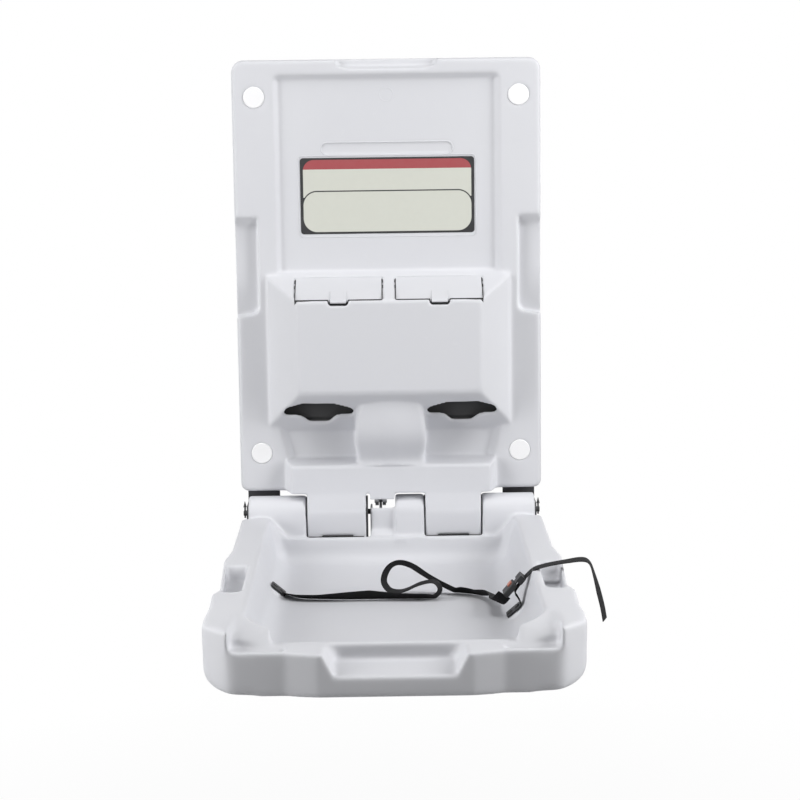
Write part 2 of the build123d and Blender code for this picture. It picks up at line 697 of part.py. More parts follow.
def face_marks():
    """The shallow mouldings of the panel: vent disc, long bar and the bed of the sign."""
    floor = PANEL_FLOOR
    vent_ring = stud_from_wall(VENT_RADIUS, 0, VENT_LEVEL, floor - VENT_RECESS, floor + CUT)
    vent_core = stud_from_wall(
        VENT_RADIUS - 2 * VENT_RECESS, 0, VENT_LEVEL, floor - VENT_RECESS, floor + CUT
    )
    half = BAR_HEIGHT / 2
    bar_points = [(BAR_HALF_LENGTH, BAR_LEVEL - half), (BAR_HALF_LENGTH, BAR_LEVEL + half)]
    bar_face = outline(
        *both_sides(bar_points, [half - BAR_RECESS, half - BAR_RECESS]), front_plane(floor - BAR_RECESS)
    )
    sign_points = [(SIGN_HALF_WIDTH, SIGN_FOOT), (SIGN_HALF_WIDTH, SIGN_TOP)]
    sign_face = outline(
        *both_sides(sign_points, [SIGN_CORNER, SIGN_CORNER]), front_plane(floor - SIGN_RECESS)
    )
    return (vent_ring - vent_core) + extrude(bar_face, BAR_RECESS * 2) + extrude(sign_face, SIGN_RECESS * 2)


def badge_line():
    """The fine groove round the bare rectangle on the nose, cut to a steady depth."""
    width = BADGE_HALF_WIDTH
    outer_points = [(width, -BADGE_FOOT_DROP), (width, -BADGE_TOP_DROP)]
    inner = width - BADGE_LINE_WIDTH
    inner_points = [
        (inner, -BADGE_FOOT_DROP + BADGE_LINE_WIDTH), (inner, -BADGE_TOP_DROP - BADGE_LINE_WIDTH)
    ]
    frame = [
        outline(*both_sides(points, [BADGE_LINE_WIDTH, BADGE_LINE_WIDTH]), front_plane(BAY_FLOOR))
        for points in (outer_points, inner_points)
    ]
    return extrude(frame[0] - frame[1], NOSE_REACH)


def wall_casing():
    body = casing_slab() - panel_cut() - scallop_cut() - bay_cut()
    notch = notch_cut()
    body = body - notch - mirror_x(notch)
    cover = nose()
    inner_cover = Location((0, BADGE_LINE_DEPTH, 0)) * cover
    cover = cover - (badge_line() - inner_cover)
    body = body + liner_box() + apron() + cover + apron_drop()
    body = body + casing_knuckle(-LEFT_OUTER_JOINT + KNUCKLE_GAP / 2, -LEFT_INNER_JOINT - LEFT_INNER_GAP / 2)
    body = body + casing_knuckle(RIGHT_INNER_JOINT + KNUCKLE_GAP / 2, RIGHT_OUTER_JOINT - KNUCKLE_GAP / 2)
    right_cuts = liner_space() + slot_cut() + lid_seat_cut()
    right_cuts = right_cuts + lid_pin_holes(SEAT_CLEARANCE) + rail_channel(RAIL_CLEARANCE)
    body = body - right_cuts - mirror_x(right_cuts) - strut_space() - face_marks()
    for x, z in SCREW_PLACES:
        body = body - screw_well(x, z)
    body = body - hinge_bar(BUSH_RADIUS + SEAT_CLEARANCE, -CASING_WIDTH, CASING_WIDTH)
    body = body - bar_along_x(
        STRUT_PIN_RADIUS + SEAT_CLEARANCE, STRUT_X - STRUT_PIN_HALF_LENGTH, STRUT_X + STRUT_PIN_HALF_LENGTH,
        STRUT_TOP_REACH, -STRUT_TOP_DROP)
    for pad in stop_pads():
        body = body - pad
    return body


def screw_caps():
    caps = []
    for x, z in SCREW_PLACES:
        disc = stud_from_wall(
            CAP_RADIUS, x, z, CASING_REACH - CAP_SEAT_DEPTH + SEAT_CLEARANCE, CASING_REACH + CAP_CROWN
        )
        disc = chamfer(disc.faces().sort_by(Axis.Y)[0].edges(), CAP_CROWN)
        outer = SCREW_WELL_RADIUS - CAP_CLEARANCE
        skirt = stud_from_wall(
            outer, x, z, CASING_REACH - CAP_SEAT_DEPTH - CAP_SKIRT_DEPTH, CASING_REACH - CAP_SEAT_DEPTH / 2
        )
        hollow = stud_from_wall(outer - CAP_SKIRT_WALL, x, z, 0, CASING_REACH - CAP_SEAT_DEPTH / 2)
        caps.append(disc + (skirt - hollow))
    return caps


def load_washers():
    washers = []
    for x, z in SCREW_PLACES:
        disc = stud_from_wall(WASHER_RADIUS, x, z, SCREW_WELL_FLOOR, SCREW_WELL_FLOOR + WASHER_THICKNESS)
        washers.append(disc - stud_from_wall(SCREW_HOLE_RADIUS, x, z, 0, CASING_REACH))
    return washers


def mounting_rail():
    """The right steel rail: a flat strap on the wall with one ear bent forward at its foot."""
    strap = box_between(RAIL_INNER, RAIL_OUTER, 0, RAIL_THICKNESS, -RAIL_FOOT_DROP, RAIL_TOP)
    strap = fillet(strap.edges().filter_by(Axis.Y), RAIL_THICKNESS)
    ear = box_between(
        RAIL_OUTER - EAR_THICKNESS, RAIL_OUTER, 0, HINGE_REACH, -HINGE_DROP - EAR_HALF_HEIGHT,
        -HINGE_DROP + EAR_HALF_HEIGHT
    )
    ear = ear + hinge_bar(EAR_HALF_HEIGHT, RAIL_OUTER - EAR_THICKNESS, RAIL_OUTER)
    rail = strap + ear - hinge_bar(BUSH_RADIUS + SEAT_CLEARANCE, 0, CASING_WIDTH)
    for level in (-1, 1):
        rail = rail - stud_from_wall(
            SCREW_HOLE_RADIUS, SCREW_SPACING_X / 2, level * SCREW_SPACING_Z / 2, -CUT, CASING_REACH
        )
    return rail


def bush(x_from, x_to):
    return hinge_bar(BUSH_RADIUS, x_from, x_to) - hinge_bar(
        ROD_RADIUS + RUNNING_CLEARANCE, x_from - CUT, x_to + CUT
    )


def knuckle_bushes():
    """Nylon bushes, one in each end of the two casing knuckles."""
    ends = [
        (-LEFT_OUTER_JOINT + KNUCKLE_GAP / 2, -LEFT_INNER_JOINT - LEFT_INNER_GAP / 2),
        (RIGHT_INNER_JOINT + KNUCKLE_GAP / 2, RIGHT_OUTER_JOINT - KNUCKLE_GAP / 2),
    ]
    return [
        bush(*span) for left,
        right in ends for span in ((left, left + BUSH_LENGTH), (right - BUSH_LENGTH, right))
    ]


def ear_bushes():
    right = bush(RAIL_OUTER - EAR_THICKNESS, RAIL_OUTER)
    return [right, mirror_x(right)]


def stop_pads():
    """Rubber pads let into the heels, which the bed's rear wall rests on."""
    front = HINGE_REACH + BED_REAR - PAD_CLEARANCE
    back = HINGE_REACH + KNUCKLE_RADIUS - PAD_SEAT
    left = -(LEFT_OUTER_JOINT + LEFT_INNER_JOINT) / 2
    right = (RIGHT_OUTER_JOINT + RIGHT_INNER_JOINT) / 2
    pads = [
        box_between(
            x - PAD_WIDTH / 2, x + PAD_WIDTH / 2, back, front, -PAD_LEVEL_DROP - PAD_HEIGHT / 2,
            -PAD_LEVEL_DROP + PAD_HEIGHT / 2
        )
        for x in (left, right)
    ]
    return [fillet(pad.edges().filter_by(Axis.Y), PAD_HEIGHT / 4) for pad in pads]


def lid():
    """The right lid: a folded plate with a hinge barrel, end ribs and a pull tab."""
    top = box_top_at
    t = LID_THICKNESS
    hinge, fold, front = LID_HINGE_REACH, LID_FOLD_REACH, LID_FRONT_REACH
    barrel_height = top(hinge) - LID_BARREL_RADIUS
    plate = side_prism(
        [
            (hinge, top(hinge) - t), (hinge, top(hinge)), (fold, top(fold)),
            (front, top(front) - LID_LIP_DROP), (front, top(front) - LID_LIP_DROP - t),
            (fold, top(fold) - t)
        ],
        [0, 0, CUT, t / 3, 0, 0], LID_INNER, LID_OUTER
    )
    barrel = bar_along_x(LID_BARREL_RADIUS, LID_INNER, LID_OUTER, hinge, barrel_height)
    tab_top = top(front) - LID_LIP_DROP
    tab = box_between(
        TAB_CENTRE - TAB_WIDTH / 2, TAB_CENTRE + TAB_WIDTH / 2, front - TAB_REACH, front + TAB_REACH,
        tab_top - TAB_THICKNESS, tab_top + t / 3
    )
    return plate + barrel + tab - lid_pin_holes(RUNNING_CLEARANCE)


# Gas strut and crank


def crank_pin_place(turn):
    """Reach and height of the crank pin when the bed has turned up by an angle in radians."""
    back = CRANK_BACK * math.cos(turn) + CRANK_RISE * math.sin(turn)
    rise = -CRANK_BACK * math.sin(turn) + CRANK_RISE * math.cos(turn)
    return HINGE_REACH - back, -HINGE_DROP + rise


def strut_reading(turn):
    """Angle from plumb and length of the line from the strut's upper pin to the crank pin."""
    reach, height = crank_pin_place(turn)
    out = reach - STRUT_TOP_REACH
    down = -STRUT_TOP_DROP - height
    return math.atan2(out, down), math.hypot(out, down)


STRUT_DOWN_ANGLE, STRUT_DOWN_LENGTH = strut_reading(0)
STRUT_UP_ANGLE, STRUT_UP_LENGTH = strut_reading(math.pi / 2)


def clevis_slips():
    """How far the crank pin leaves a strut that turns and grows at a steady rate with the bed."""
    slips = []
    for step in range(91):
        share = step / 90
        reach, height = crank_pin_place(share * math.pi / 2)
        angle = STRUT_DOWN_ANGLE + (STRUT_UP_ANGLE - STRUT_DOWN_ANGLE) * share
        length = STRUT_DOWN_LENGTH + (STRUT_UP_LENGTH - STRUT_DOWN_LENGTH) * share
        out = reach - STRUT_TOP_REACH
        down = -STRUT_TOP_DROP - height
        along = out * math.sin(angle) + down * math.cos(angle) - length
        across = out * math.cos(angle) - down * math.sin(angle)
        slips.append((across, along))
    return slips


def on_strut(shape):
    """Turns a shape drawn plumb below the upper pin onto the strut's line when the bed is down."""
    pin = Location((STRUT_X, -STRUT_TOP_REACH, -STRUT_TOP_DROP))
    return pin * Rotation(-math.degrees(STRUT_DOWN_ANGLE), 0, 0) * shape


def plumb_bar(radius, from_top, to_top):
    """A round bar on the strut's line, between two distances below the upper pin."""
    return Location((0, 0, -to_top)) * Cylinder(
        radius, to_top - from_top, align=(Align.CENTER, Align.CENTER, Align.MIN)
    )


def cross_bar(radius, half_width, from_top=0.0, back=0.0):
    """A round bar across the strut's line, along X."""
    start = Plane.YZ.offset(-half_width) * Location((back, -from_top))
    return extrude(start * Circle(radius), half_width * 2)


BARREL_FOOT = BARREL_NECK + BARREL_LENGTH


def strut_barrel():
    tube = plumb_bar(BARREL_RADIUS, BARREL_NECK, BARREL_FOOT)
    bore = plumb_bar(BARREL_BORE_RADIUS, BARREL_NECK + BARREL_EYE_WIDTH / 2, BARREL_FOOT + CUT)
    neck = plumb_bar(BARREL_EYE_WIDTH * 0.42, 0, BARREL_NECK + BARREL_EYE_WIDTH / 4)
    eye = cross_bar(BARREL_EYE_RADIUS, BARREL_EYE_WIDTH / 2)
    hole = cross_bar(STRUT_PIN_RADIUS + RUNNING_CLEARANCE, CUT)
    return on_strut(tube - bore + neck + eye - hole)


def strut_gland():
    ring = plumb_bar(BARREL_BORE_RADIUS - SEAT_CLEARANCE, BARREL_FOOT - GLAND_LENGTH, BARREL_FOOT)
    return on_strut(ring - plumb_bar(STRUT_ROD_RADIUS + RUNNING_CLEARANCE, 0, BARREL_FOOT + CUT))


def strut_rod():
    return on_strut(
        plumb_bar(STRUT_ROD_RADIUS, PISTON_START, STRUT_DOWN_LENGTH - CLEVIS_LENGTH + CLEVIS_SOCKET)
    )


def strut_piston():
    disc = plumb_bar(BARREL_BORE_RADIUS - PISTON_CLEARANCE, PISTON_START, PISTON_START + PISTON_LENGTH)
    return on_strut(disc - plumb_bar(STRUT_ROD_RADIUS + SEAT_CLEARANCE, 0, PISTON_START + CUT))


def strut_clevis():
    """Forked end of the strut rod, with a slot that lets the crank pin run back in mid-travel."""
    slips = clevis_slips()
    back = -min(across for across, along in slips)
    low = max(along for across, along in slips)
    high = -min(along for across, along in slips)
    radius = STRUT_PIN_RADIUS + CLEVIS_SPARE
    eye, neck = CLEVIS_RADIUS, CLEVIS_NECK_RADIUS
    pin = -STRUT_DOWN_LENGTH
    top = pin + CLEVIS_LENGTH
    cheek = [
        (-eye, pin - eye), (back + eye, pin - eye), (back + eye, pin + eye / 2), (neck, pin + CLEVIS_FORK_RISE),
        (neck, top), (-neck, top), (-neck, pin + 2 * eye), (-eye, pin + eye)
    ]
    radii = [eye * 0.9, eye * 0.9, eye / 2, neck, neck / 4, neck / 4, neck, neck]
    body = extrude(outline(cheek, radii, Plane.YZ.offset(-CLEVIS_WIDTH / 2)), CLEVIS_WIDTH)
    slot = [(-radius, pin - radius - low), (back + radius, pin - radius - low),
            (back + radius, pin + radius + high), (-radius, pin + radius + high)]
    slot_face = outline(slot, [radius * 0.999] * 4, Plane.YZ.offset(-CLEVIS_WIDTH))
    fork = CRANK_THICKNESS + 2 * CLEVIS_FORK_GAP
    gap_size = (fork, BED_SIDE_RADIUS * 2, CUT + CLEVIS_FORK_RISE)
    gap = Location((0, 0, pin - CUT)) * Box(*gap_size, align=(Align.CENTER, Align.CENTER, Align.MIN))
    rod_hole = plumb_bar(STRUT_ROD_RADIUS + SEAT_CLEARANCE, 0, CLEVIS_SOCKET - top)
    return on_strut(body - extrude(slot_face, CLEVIS_WIDTH * 2) - gap - rod_hole)


def strut_upper_pin():
    return bar_along_x(
        STRUT_PIN_RADIUS, STRUT_X - STRUT_PIN_HALF_LENGTH + LID_GAP,
        STRUT_X + STRUT_PIN_HALF_LENGTH - LID_GAP, STRUT_TOP_REACH, -STRUT_TOP_DROP
    )


def hinge_crank():
    """Steel crank on the rod: an arm to the strut's pin and a foot screwed to the bed."""
    half = CRANK_THICKNESS / 2
    pin_reach, pin_height = crank_pin_place(0)
    hub = hinge_bar(CRANK_HUB_RADIUS, STRUT_X - half, STRUT_X + half)
    eye = bar_along_x(CRANK_EYE_RADIUS, STRUT_X - half, STRUT_X + half, pin_reach, pin_height)
    angle = math.atan2(CRANK_RISE, CRANK_BACK)
    lean = math.asin((CRANK_HUB_RADIUS - CRANK_EYE_RADIUS) / math.hypot(CRANK_RISE, CRANK_BACK))
    corners = []
    for side in (1, -1):
        out = angle + side * (math.pi / 2 - lean)
        hub_corner = (
            HINGE_REACH - CRANK_HUB_RADIUS * math.cos(out), -HINGE_DROP + CRANK_HUB_RADIUS * math.sin(out)
        )
        eye_corner = (
            pin_reach - CRANK_EYE_RADIUS * math.cos(out), pin_height + CRANK_EYE_RADIUS * math.sin(out)
        )
        corners.append((hub_corner, eye_corner))
    arm = side_prism(
        [corners[0][0], corners[0][1], corners[1][1], corners[1][0]], [0] * 4, STRUT_X - half,
        STRUT_X + half
    )
    floor = -HINGE_DROP - LOW_KNUCKLE_FLOOR
    post = box_between(
        STRUT_X - half, STRUT_X + half, HINGE_REACH - CRANK_FOOT_LENGTH / 2,
        HINGE_REACH + CRANK_FOOT_LENGTH / 2, floor, -HINGE_DROP
    )
    foot = box_between(
        STRUT_X - CRANK_FOOT_HALF_WIDTH, STRUT_X + CRANK_FOOT_HALF_WIDTH,
        HINGE_REACH - CRANK_FOOT_LENGTH / 2, HINGE_REACH + CRANK_FOOT_LENGTH / 2, floor,
        floor + CRANK_FOOT_THICKNESS
    )
    crank = hub + eye + arm + post + foot - hinge_bar(
        ROD_RADIUS + SEAT_CLEARANCE, -CASING_WIDTH, CASING_WIDTH
    )
    crank = crank - bar_along_x(
        STRUT_PIN_RADIUS + SEAT_CLEARANCE, -CASING_WIDTH, CASING_WIDTH, pin_reach, pin_height
    )
    for place in crank_screw_places():
        crank = crank - place * Cylinder(CRANK_SCREW_RADIUS + SEAT_CLEARANCE, CUT * 2)
    return crank


def crank_screw_places():
    floor = -HINGE_DROP - LOW_KNUCKLE_FLOOR + CRANK_FOOT_THICKNESS
    offset = (CRANK_FOOT_HALF_WIDTH + CRANK_THICKNESS / 2) / 2
    return [Location((STRUT_X + side * offset, -HINGE_REACH, floor)) for side in (-1, 1)]


def crank_screws():
    screws = []
    for place in crank_screw_places():
        head = Cylinder(
            CRANK_SCREW_HEAD_RADIUS, CRANK_SCREW_HEAD_HEIGHT, align=(Align.CENTER, Align.CENTER, Align.MIN)
        )
        shank = Cylinder(
            CRANK_SCREW_RADIUS, CRANK_SCREW_LENGTH, align=(Align.CENTER, Align.CENTER, Align.MAX)
        )
        screws.append(place * (head + shank))
    return screws


def crank_pin():
    reach, height = crank_pin_place(0)
    half = CLEVIS_WIDTH / 2 + SEAT_CLEARANCE + CAP_CLEARANCE
    pin = bar_along_x(STRUT_PIN_RADIUS, STRUT_X - half, STRUT_X + half, reach, height)
    for side in (-1, 1):
        start = STRUT_X + side * half
        end = start + side * CRANK_PIN_HEAD_LENGTH
        pin = pin + bar_along_x(CRANK_PIN_HEAD_RADIUS, min(start, end), max(start, end), reach, height)
    return pin


# Bed


def bed_prism():
    """The bed's outside: its plan, with the rounded lower corners seen from the front and the side."""
    points = [
        (BED_FACET_INNER, BED_FACET_REACH), (BED_FACET_OUTER, BED_CORNER_REACH),
        (BED_CORNER_HALF_WIDTH, BED_CORNER_REACH), (BED_POST_HALF_WIDTH, BED_POST_REACH),
        (BED_STEP_HALF_WIDTH, BED_STEP_REACH), (BED_SHOULDER_HALF_WIDTH, BED_WAIST_REACH),
        (BED_POCKET_HALF_WIDTH, BED_POCKET_REACH),
        (BED_SHOULDER_HALF_WIDTH, BED_POCKET_REACH - 2 * BED_SIDE_RADIUS),
        (BED_SHOULDER_HALF_WIDTH, BED_SHOULDER_REACH), (BED_REAR_HALF_WIDTH, HINGE_REACH + BED_REAR)
    ]
    radii = [
        CUT, CUT, CUT, BED_SIDE_RADIUS / 2, BED_FOOT_RADIUS, BED_FOOT_RADIUS, BED_FOOT_RADIUS,
        BED_SIDE_RADIUS, BED_RIM_RADIUS, 0
    ]
    plan = plan_prism(*both_sides(points, radii), -RIM_DROP - BED_DEPTH, -RIM_DROP)
    rim_edges = plan.faces().sort_by(Axis.Z)[-1].edges().sort_by(Axis.Y)[:-1]
    plan = fillet(rim_edges, BED_RIM_RADIUS)
    half = BED_STEP_HALF_WIDTH
    foot = -RIM_DROP - BED_DEPTH
    front = outline(*both_sides([(half, foot), (half, -RIM_DROP)], [BED_SIDE_RADIUS, 0]), front_plane(0))
    front = extrude(front, BED_REACH + CUT)
    side = side_prism(
        [
            (HINGE_REACH + BED_REAR, -RIM_DROP), (BED_REACH, -RIM_DROP), (BED_REACH, foot),
            (HINGE_REACH + BED_REAR, foot)
        ],
        [0, 0, BED_FOOT_RADIUS, BED_FOOT_RADIUS], -half - CUT, half + CUT
    )
    return plan & front & side


def basin_cut():
    points = [(BASIN_HALF_WIDTH, BASIN_FRONT_REACH), (BASIN_HALF_WIDTH, BASIN_REAR_REACH)]
    plan = [(x, -reach) for x, reach in points]
    face = outline(*both_sides(plan, [BASIN_FRONT_CORNER, BASIN_REAR_CORNER]), Plane.XY.offset(-RIM_DROP))
    tool = extrude(face, -BASIN_DEPTH, taper=BASIN_TAPER)
    tool = fillet(tool.faces().sort_by(Axis.Z)[0].edges(), BASIN_FLOOR_RADIUS)
    above = extrude(face, CUT)
    return tool + above


def basin_rim_edges(body):
    """The sharp edges where the basin opens in the rim."""
    top = body.edges().filter_by_position(Axis.Z, -RIM_DROP - SEAT_CLEARANCE, -RIM_DROP + SEAT_CLEARANCE)
    inside = top.filter_by_position(Axis.X, -BASIN_HALF_WIDTH - CAP_CROWN, BASIN_HALF_WIDTH + CAP_CROWN)
    return inside.filter_by_position(Axis.Y, -BASIN_FRONT_REACH - CAP_CROWN, -BASIN_REAR_REACH + CAP_CROWN)


def lip_cut():
    """Lowers the rear wall between the outer knuckles to the height of the lip."""
    foot = -RIM_DROP - LIP_DEPTH
    points = [(LIP_HALF_WIDTH, foot), (LIP_TOP_HALF_WIDTH, -RIM_DROP), (LIP_TOP_HALF_WIDTH, -RIM_DROP + CUT)]
    face = outline(*both_sides(points, [CUT, CUT / 2, 0]), front_plane(HINGE_REACH))
    return extrude(face, LIP_REACH - HINGE_REACH)


def shelf_cut():
    """Lowers the front between the corner posts, with the slanting steps beside them."""
    rim, shelf = -RIM_DROP, -RIM_DROP - SHELF_DEPTH
    low = box_between(-POST_INNER, POST_INNER, STEP_REACH, BED_REACH + CUT, shelf, rim + CUT)
    middle = box_between(
        -STEP_HALF_WIDTH, STEP_HALF_WIDTH, RAMP_START_REACH - SHELF_DEPTH, BED_REACH + CUT, shelf, rim + CUT
    )
    ramps = []
    for side in (-1, 1):
        outer_start = Vector(side * POST_INNER, -RAMP_START_REACH, rim)
        outer_end = Vector(side * POST_INNER, -STEP_REACH, shelf + STEP_HEIGHT)
        inner_end = Vector(side * STEP_HALF_WIDTH, -STEP_REACH, shelf)
        normal = (outer_end - outer_start).cross(inner_end - outer_start)
        normal = normal if normal.Z > 0 else normal * -1
        half_space = extrude(
            Plane(origin=outer_start, z_dir=normal) * Rectangle(CASING_WIDTH, CASING_WIDTH), CASING_WIDTH
        )
        x_from, x_to = sorted((side * (STEP_HALF_WIDTH - CUT), side * POST_INNER))
        ramps.append(
            half_space & box_between(
                x_from, x_to, RAMP_START_REACH - SHELF_DEPTH, STEP_REACH + CUT, shelf - CUT, rim + CUT
            )
        )
    return low + middle + ramps[0] + ramps[1]


def pocket_cut():
    """Hand pocket in the right rim."""
    outer = BED_SHOULDER_HALF_WIDTH - POCKET_WALL
    lean = (BED_POCKET_HALF_WIDTH - BED_SHOULDER_HALF_WIDTH) / (BED_WAIST_REACH - BED_POCKET_REACH)
    outer_rear = outer + lean * (BED_WAIST_REACH - POCKET_REAR_REACH)
    points = [
        (POCKET_INNER, POCKET_REAR_REACH), (POCKET_INNER, POCKET_FRONT_REACH), (outer, POCKET_FRONT_REACH),
        (outer, BED_WAIST_REACH), (outer_rear, POCKET_REAR_REACH)
    ]
    well = plan_prism(
        points, [POCKET_CORNER / 2, POCKET_CORNER, POCKET_CORNER / 4, 0, POCKET_CORNER / 4],
        -RIM_DROP - POCKET_DEPTH, -RIM_DROP + CUT
    )
    slope = side_prism(
        [
            (POCKET_REAR_REACH, -RIM_DROP + CUT), (POCKET_REAR_REACH, -RIM_DROP),
            (POCKET_REAR_REACH + POCKET_REAR_SLOPE, -RIM_DROP - POCKET_DEPTH),
            (POCKET_FRONT_REACH, -RIM_DROP - POCKET_DEPTH), (POCKET_FRONT_REACH, -RIM_DROP + CUT)
        ],
        [0, 0, POCKET_CORNER / 2, POCKET_CORNER / 4, 0], 0, CASING_WIDTH
    )
    return well & slope


def grip_cut():
    """The carrying grip in the middle of the front edge."""
    rim = -RIM_DROP
    top = rim - SHELF_DEPTH
    lean = (GRIP_HALF_WIDTH - GRIP_FOOT_HALF_WIDTH) / (GRIP_FRONT_DEPTH - SHELF_DEPTH)
    high_half = GRIP_HALF_WIDTH + lean * CUT
    points = [(GRIP_FOOT_HALF_WIDTH, rim - GRIP_FRONT_DEPTH), (high_half, top + CUT)]
    face = outline(*both_sides(points, [0, 0]), front_plane(GRIP_BACK_REACH))
    front = extrude(face, BED_REACH - GRIP_BACK_REACH + CUT)
    corners = [
        e
        for e in front.edges()
        if abs((e @ 0).X - (e @ 1).X) > 1 and abs(
            (e @ 0).Y + GRIP_BACK_REACH
        ) < 1 and abs((e @ 0).Z - (e @ 1).Z) > 1
    ]
    front = fillet(corners, GRIP_CORNER)
    side = side_prism(
        [
            (GRIP_BACK_REACH - CUT, top + CUT), (GRIP_BACK_REACH - CUT, rim - GRIP_BACK_DEPTH),
            (GRIP_BACK_REACH, rim - GRIP_BACK_DEPTH), (BED_REACH, rim - GRIP_FRONT_DEPTH),
            (BED_REACH + CUT, rim - GRIP_FRONT_DEPTH), (BED_REACH + CUT, top + CUT)
        ],
        [0] * 6, -CASING_WIDTH / 2, CASING_WIDTH / 2
    )
    return front & side


def knuckle_web(x_from, x_to):
    """What joins a bed knuckle to the rear wall under the lip."""
    front = HINGE_REACH + BED_REAR
    axis = -HINGE_DROP
    lip = -RIM_DROP - LIP_DEPTH
    foot = -RIM_DROP - BED_DEPTH
    deep = front + BASIN_FLOOR_RADIUS / 2
    return side_prism(
        [
            (HINGE_REACH + KNUCKLE_RADIUS, axis), (front, lip), (deep, lip), (deep, foot + CUT),
            (front, foot + CUT), (HINGE_REACH, axis - KNUCKLE_RADIUS), (HINGE_REACH, axis)
        ],
        [0] * 7, x_from, x_to
    )


def bed_knuckle(x_from, x_to):
    barrel = hinge_bar(KNUCKLE_RADIUS, x_from, x_to)
    return fillet(barrel.edges(), KNUCKLE_EDGE) + knuckle_web(x_from, x_to)


def low_knuckle():
    """The low left part of the middle knuckle: an open trough for the crank."""
    x_from = -LEFT_INNER_JOINT + LEFT_INNER_GAP / 2
    x_to = LOW_KNUCKLE_END + KNUCKLE_EDGE
    barrel = hinge_bar(LOW_KNUCKLE_RADIUS, x_from, x_to)
    front = HINGE_REACH + BED_REAR
    axis = -HINGE_DROP
    web = side_prism(
        [
            (HINGE_REACH + LOW_KNUCKLE_RADIUS, axis + LOW_KNUCKLE_RISE),
            (HINGE_REACH + LOW_KNUCKLE_RADIUS, axis - LOW_KNUCKLE_SHOULDER_DROP),
            (front, -RIM_DROP - LIP_DEPTH), (front + CUT / 2, -RIM_DROP - LIP_DEPTH),
            (front + CUT / 2, -RIM_DROP - BED_DEPTH + CUT), (front, -RIM_DROP - BED_DEPTH + CUT),
            (HINGE_REACH, axis - LOW_KNUCKLE_RADIUS), (HINGE_REACH, axis + LOW_KNUCKLE_RISE)
        ],
        [0] * 8, x_from, x_to
    )
    top = box_between(
        x_from - CUT, x_to + CUT, HINGE_REACH - BED_SIDE_RADIUS, HINGE_REACH + BED_SIDE_RADIUS,
        axis + LOW_KNUCKLE_RISE, axis + BED_SIDE_RADIUS
    )
    inner_front = HINGE_REACH + LOW_KNUCKLE_RADIUS - LOW_KNUCKLE_WALL
    trough = box_between(
        x_from + LOW_KNUCKLE_SIDE_WALL, LOW_KNUCKLE_END, HINGE_REACH - BED_SIDE_RADIUS, inner_front,
        axis - LOW_KNUCKLE_FLOOR, axis + BED_SIDE_RADIUS
    )
    return barrel + web - top - trough


def bed_shell():
    body = bed_prism() - basin_cut()
    body = fillet(basin_rim_edges(body), BASIN_RIM_RADIUS)
    body = body - lip_cut() - shelf_cut() - grip_cut()
    pocket = pocket_cut()
    body = body - pocket - mirror_x(pocket)
    body = body + bed_knuckle(-KNUCKLE_OUTER_END, -LEFT_OUTER_JOINT - KNUCKLE_GAP / 2)
    body = body + bed_knuckle(RIGHT_OUTER_JOINT + KNUCKLE_GAP / 2, KNUCKLE_OUTER_END)
    body = body + bed_knuckle(LOW_KNUCKLE_END, RIGHT_INNER_JOINT - KNUCKLE_GAP / 2) + low_knuckle()
    body = body - hinge_bar(ROD_RADIUS + SEAT_CLEARANCE, -CASING_WIDTH, CASING_WIDTH)
    for place in crank_screw_places():
        body = body - place * Cylinder(CRANK_SCREW_RADIUS + SEAT_CLEARANCE, 2 * CRANK_SCREW_LENGTH)
    for place in anchor_places():
        body = body + anchor_boss(place)
    for place in anchor_places():
        body = body - strap_holes(place)
    return body


def hinge_rod():
    rod = hinge_bar(ROD_RADIUS, -ROD_HALF_LENGTH, ROD_HALF_LENGTH)
    rod = chamfer(rod.edges(), ROD_RADIUS / 8)
    for side in (-1, 1):
        hole = Location(
            (side * COTTER_X, -HINGE_REACH, -HINGE_DROP)
        ) * Cylinder(COTTER_RADIUS + SEAT_CLEARANCE, CUT)
        rod = rod - hole
    return rod


def rod_cotters():
    """Barbed retaining pins through the ends of the rod."""
    pins = []
    for side in (-1, 1):
        place = Location((side * COTTER_X, -HINGE_REACH, -HINGE_DROP))
        head_foot = COTTER_HEAD_TOP - COTTER_HEAD_LENGTH
        stem = Location((0, 0, -COTTER_TAIL)) * Cylinder(
            COTTER_RADIUS, COTTER_TAIL + head_foot, align=(Align.CENTER, Align.CENTER, Align.MIN)
        )
        head = Location((0, 0, head_foot)) * Cone(
            COTTER_HEAD_RADIUS, COTTER_RADIUS / 4, COTTER_HEAD_LENGTH,
            align=(Align.CENTER, Align.CENTER, Align.MIN)
        )
        pins.append(place * (stem + head))
    return pins


# Straps and buckle


def basin_corner():
    """X and height of the centre line of the basin's rounded lower corner, at its right side."""
    lean = math.radians(BASIN_TAPER)
    floor_half = BASIN_HALF_WIDTH - BASIN_DEPTH * math.tan(lean)
    tangent = BASIN_FLOOR_RADIUS * math.tan((math.pi / 2 - lean) / 2)
    return floor_half - tangent, -RIM_DROP - BASIN_DEPTH + BASIN_FLOOR_RADIUS


def anchor_place(side, reach):
    """Where an anchor sits on its boss. Its own X points up the wall, and its Z into the basin."""
    corner_x, corner_height = basin_corner()
    tilt = math.radians(ANCHOR_TILT)
    x = corner_x + ANCHOR_SPAN * math.sin(tilt)
    height = corner_height - ANCHOR_SPAN * math.cos(tilt)
    if side < 0:
        return Location((-x, -reach, height)) * Rotation(0, ANCHOR_TILT, 0) * Rotation(0, 0, 180)
    return Location((x, -reach, height)) * Rotation(0, -ANCHOR_TILT, 0)


def anchor_places():
    return [anchor_place(-1, ANCHOR_REACH_LEFT), anchor_place(1, BUCKLE_REACH)]


def anchor_screw_offsets():
    return [Location((side * ANCHOR_SCREW_SPACING / 2, 0, 0)) for side in (-1, 1)]


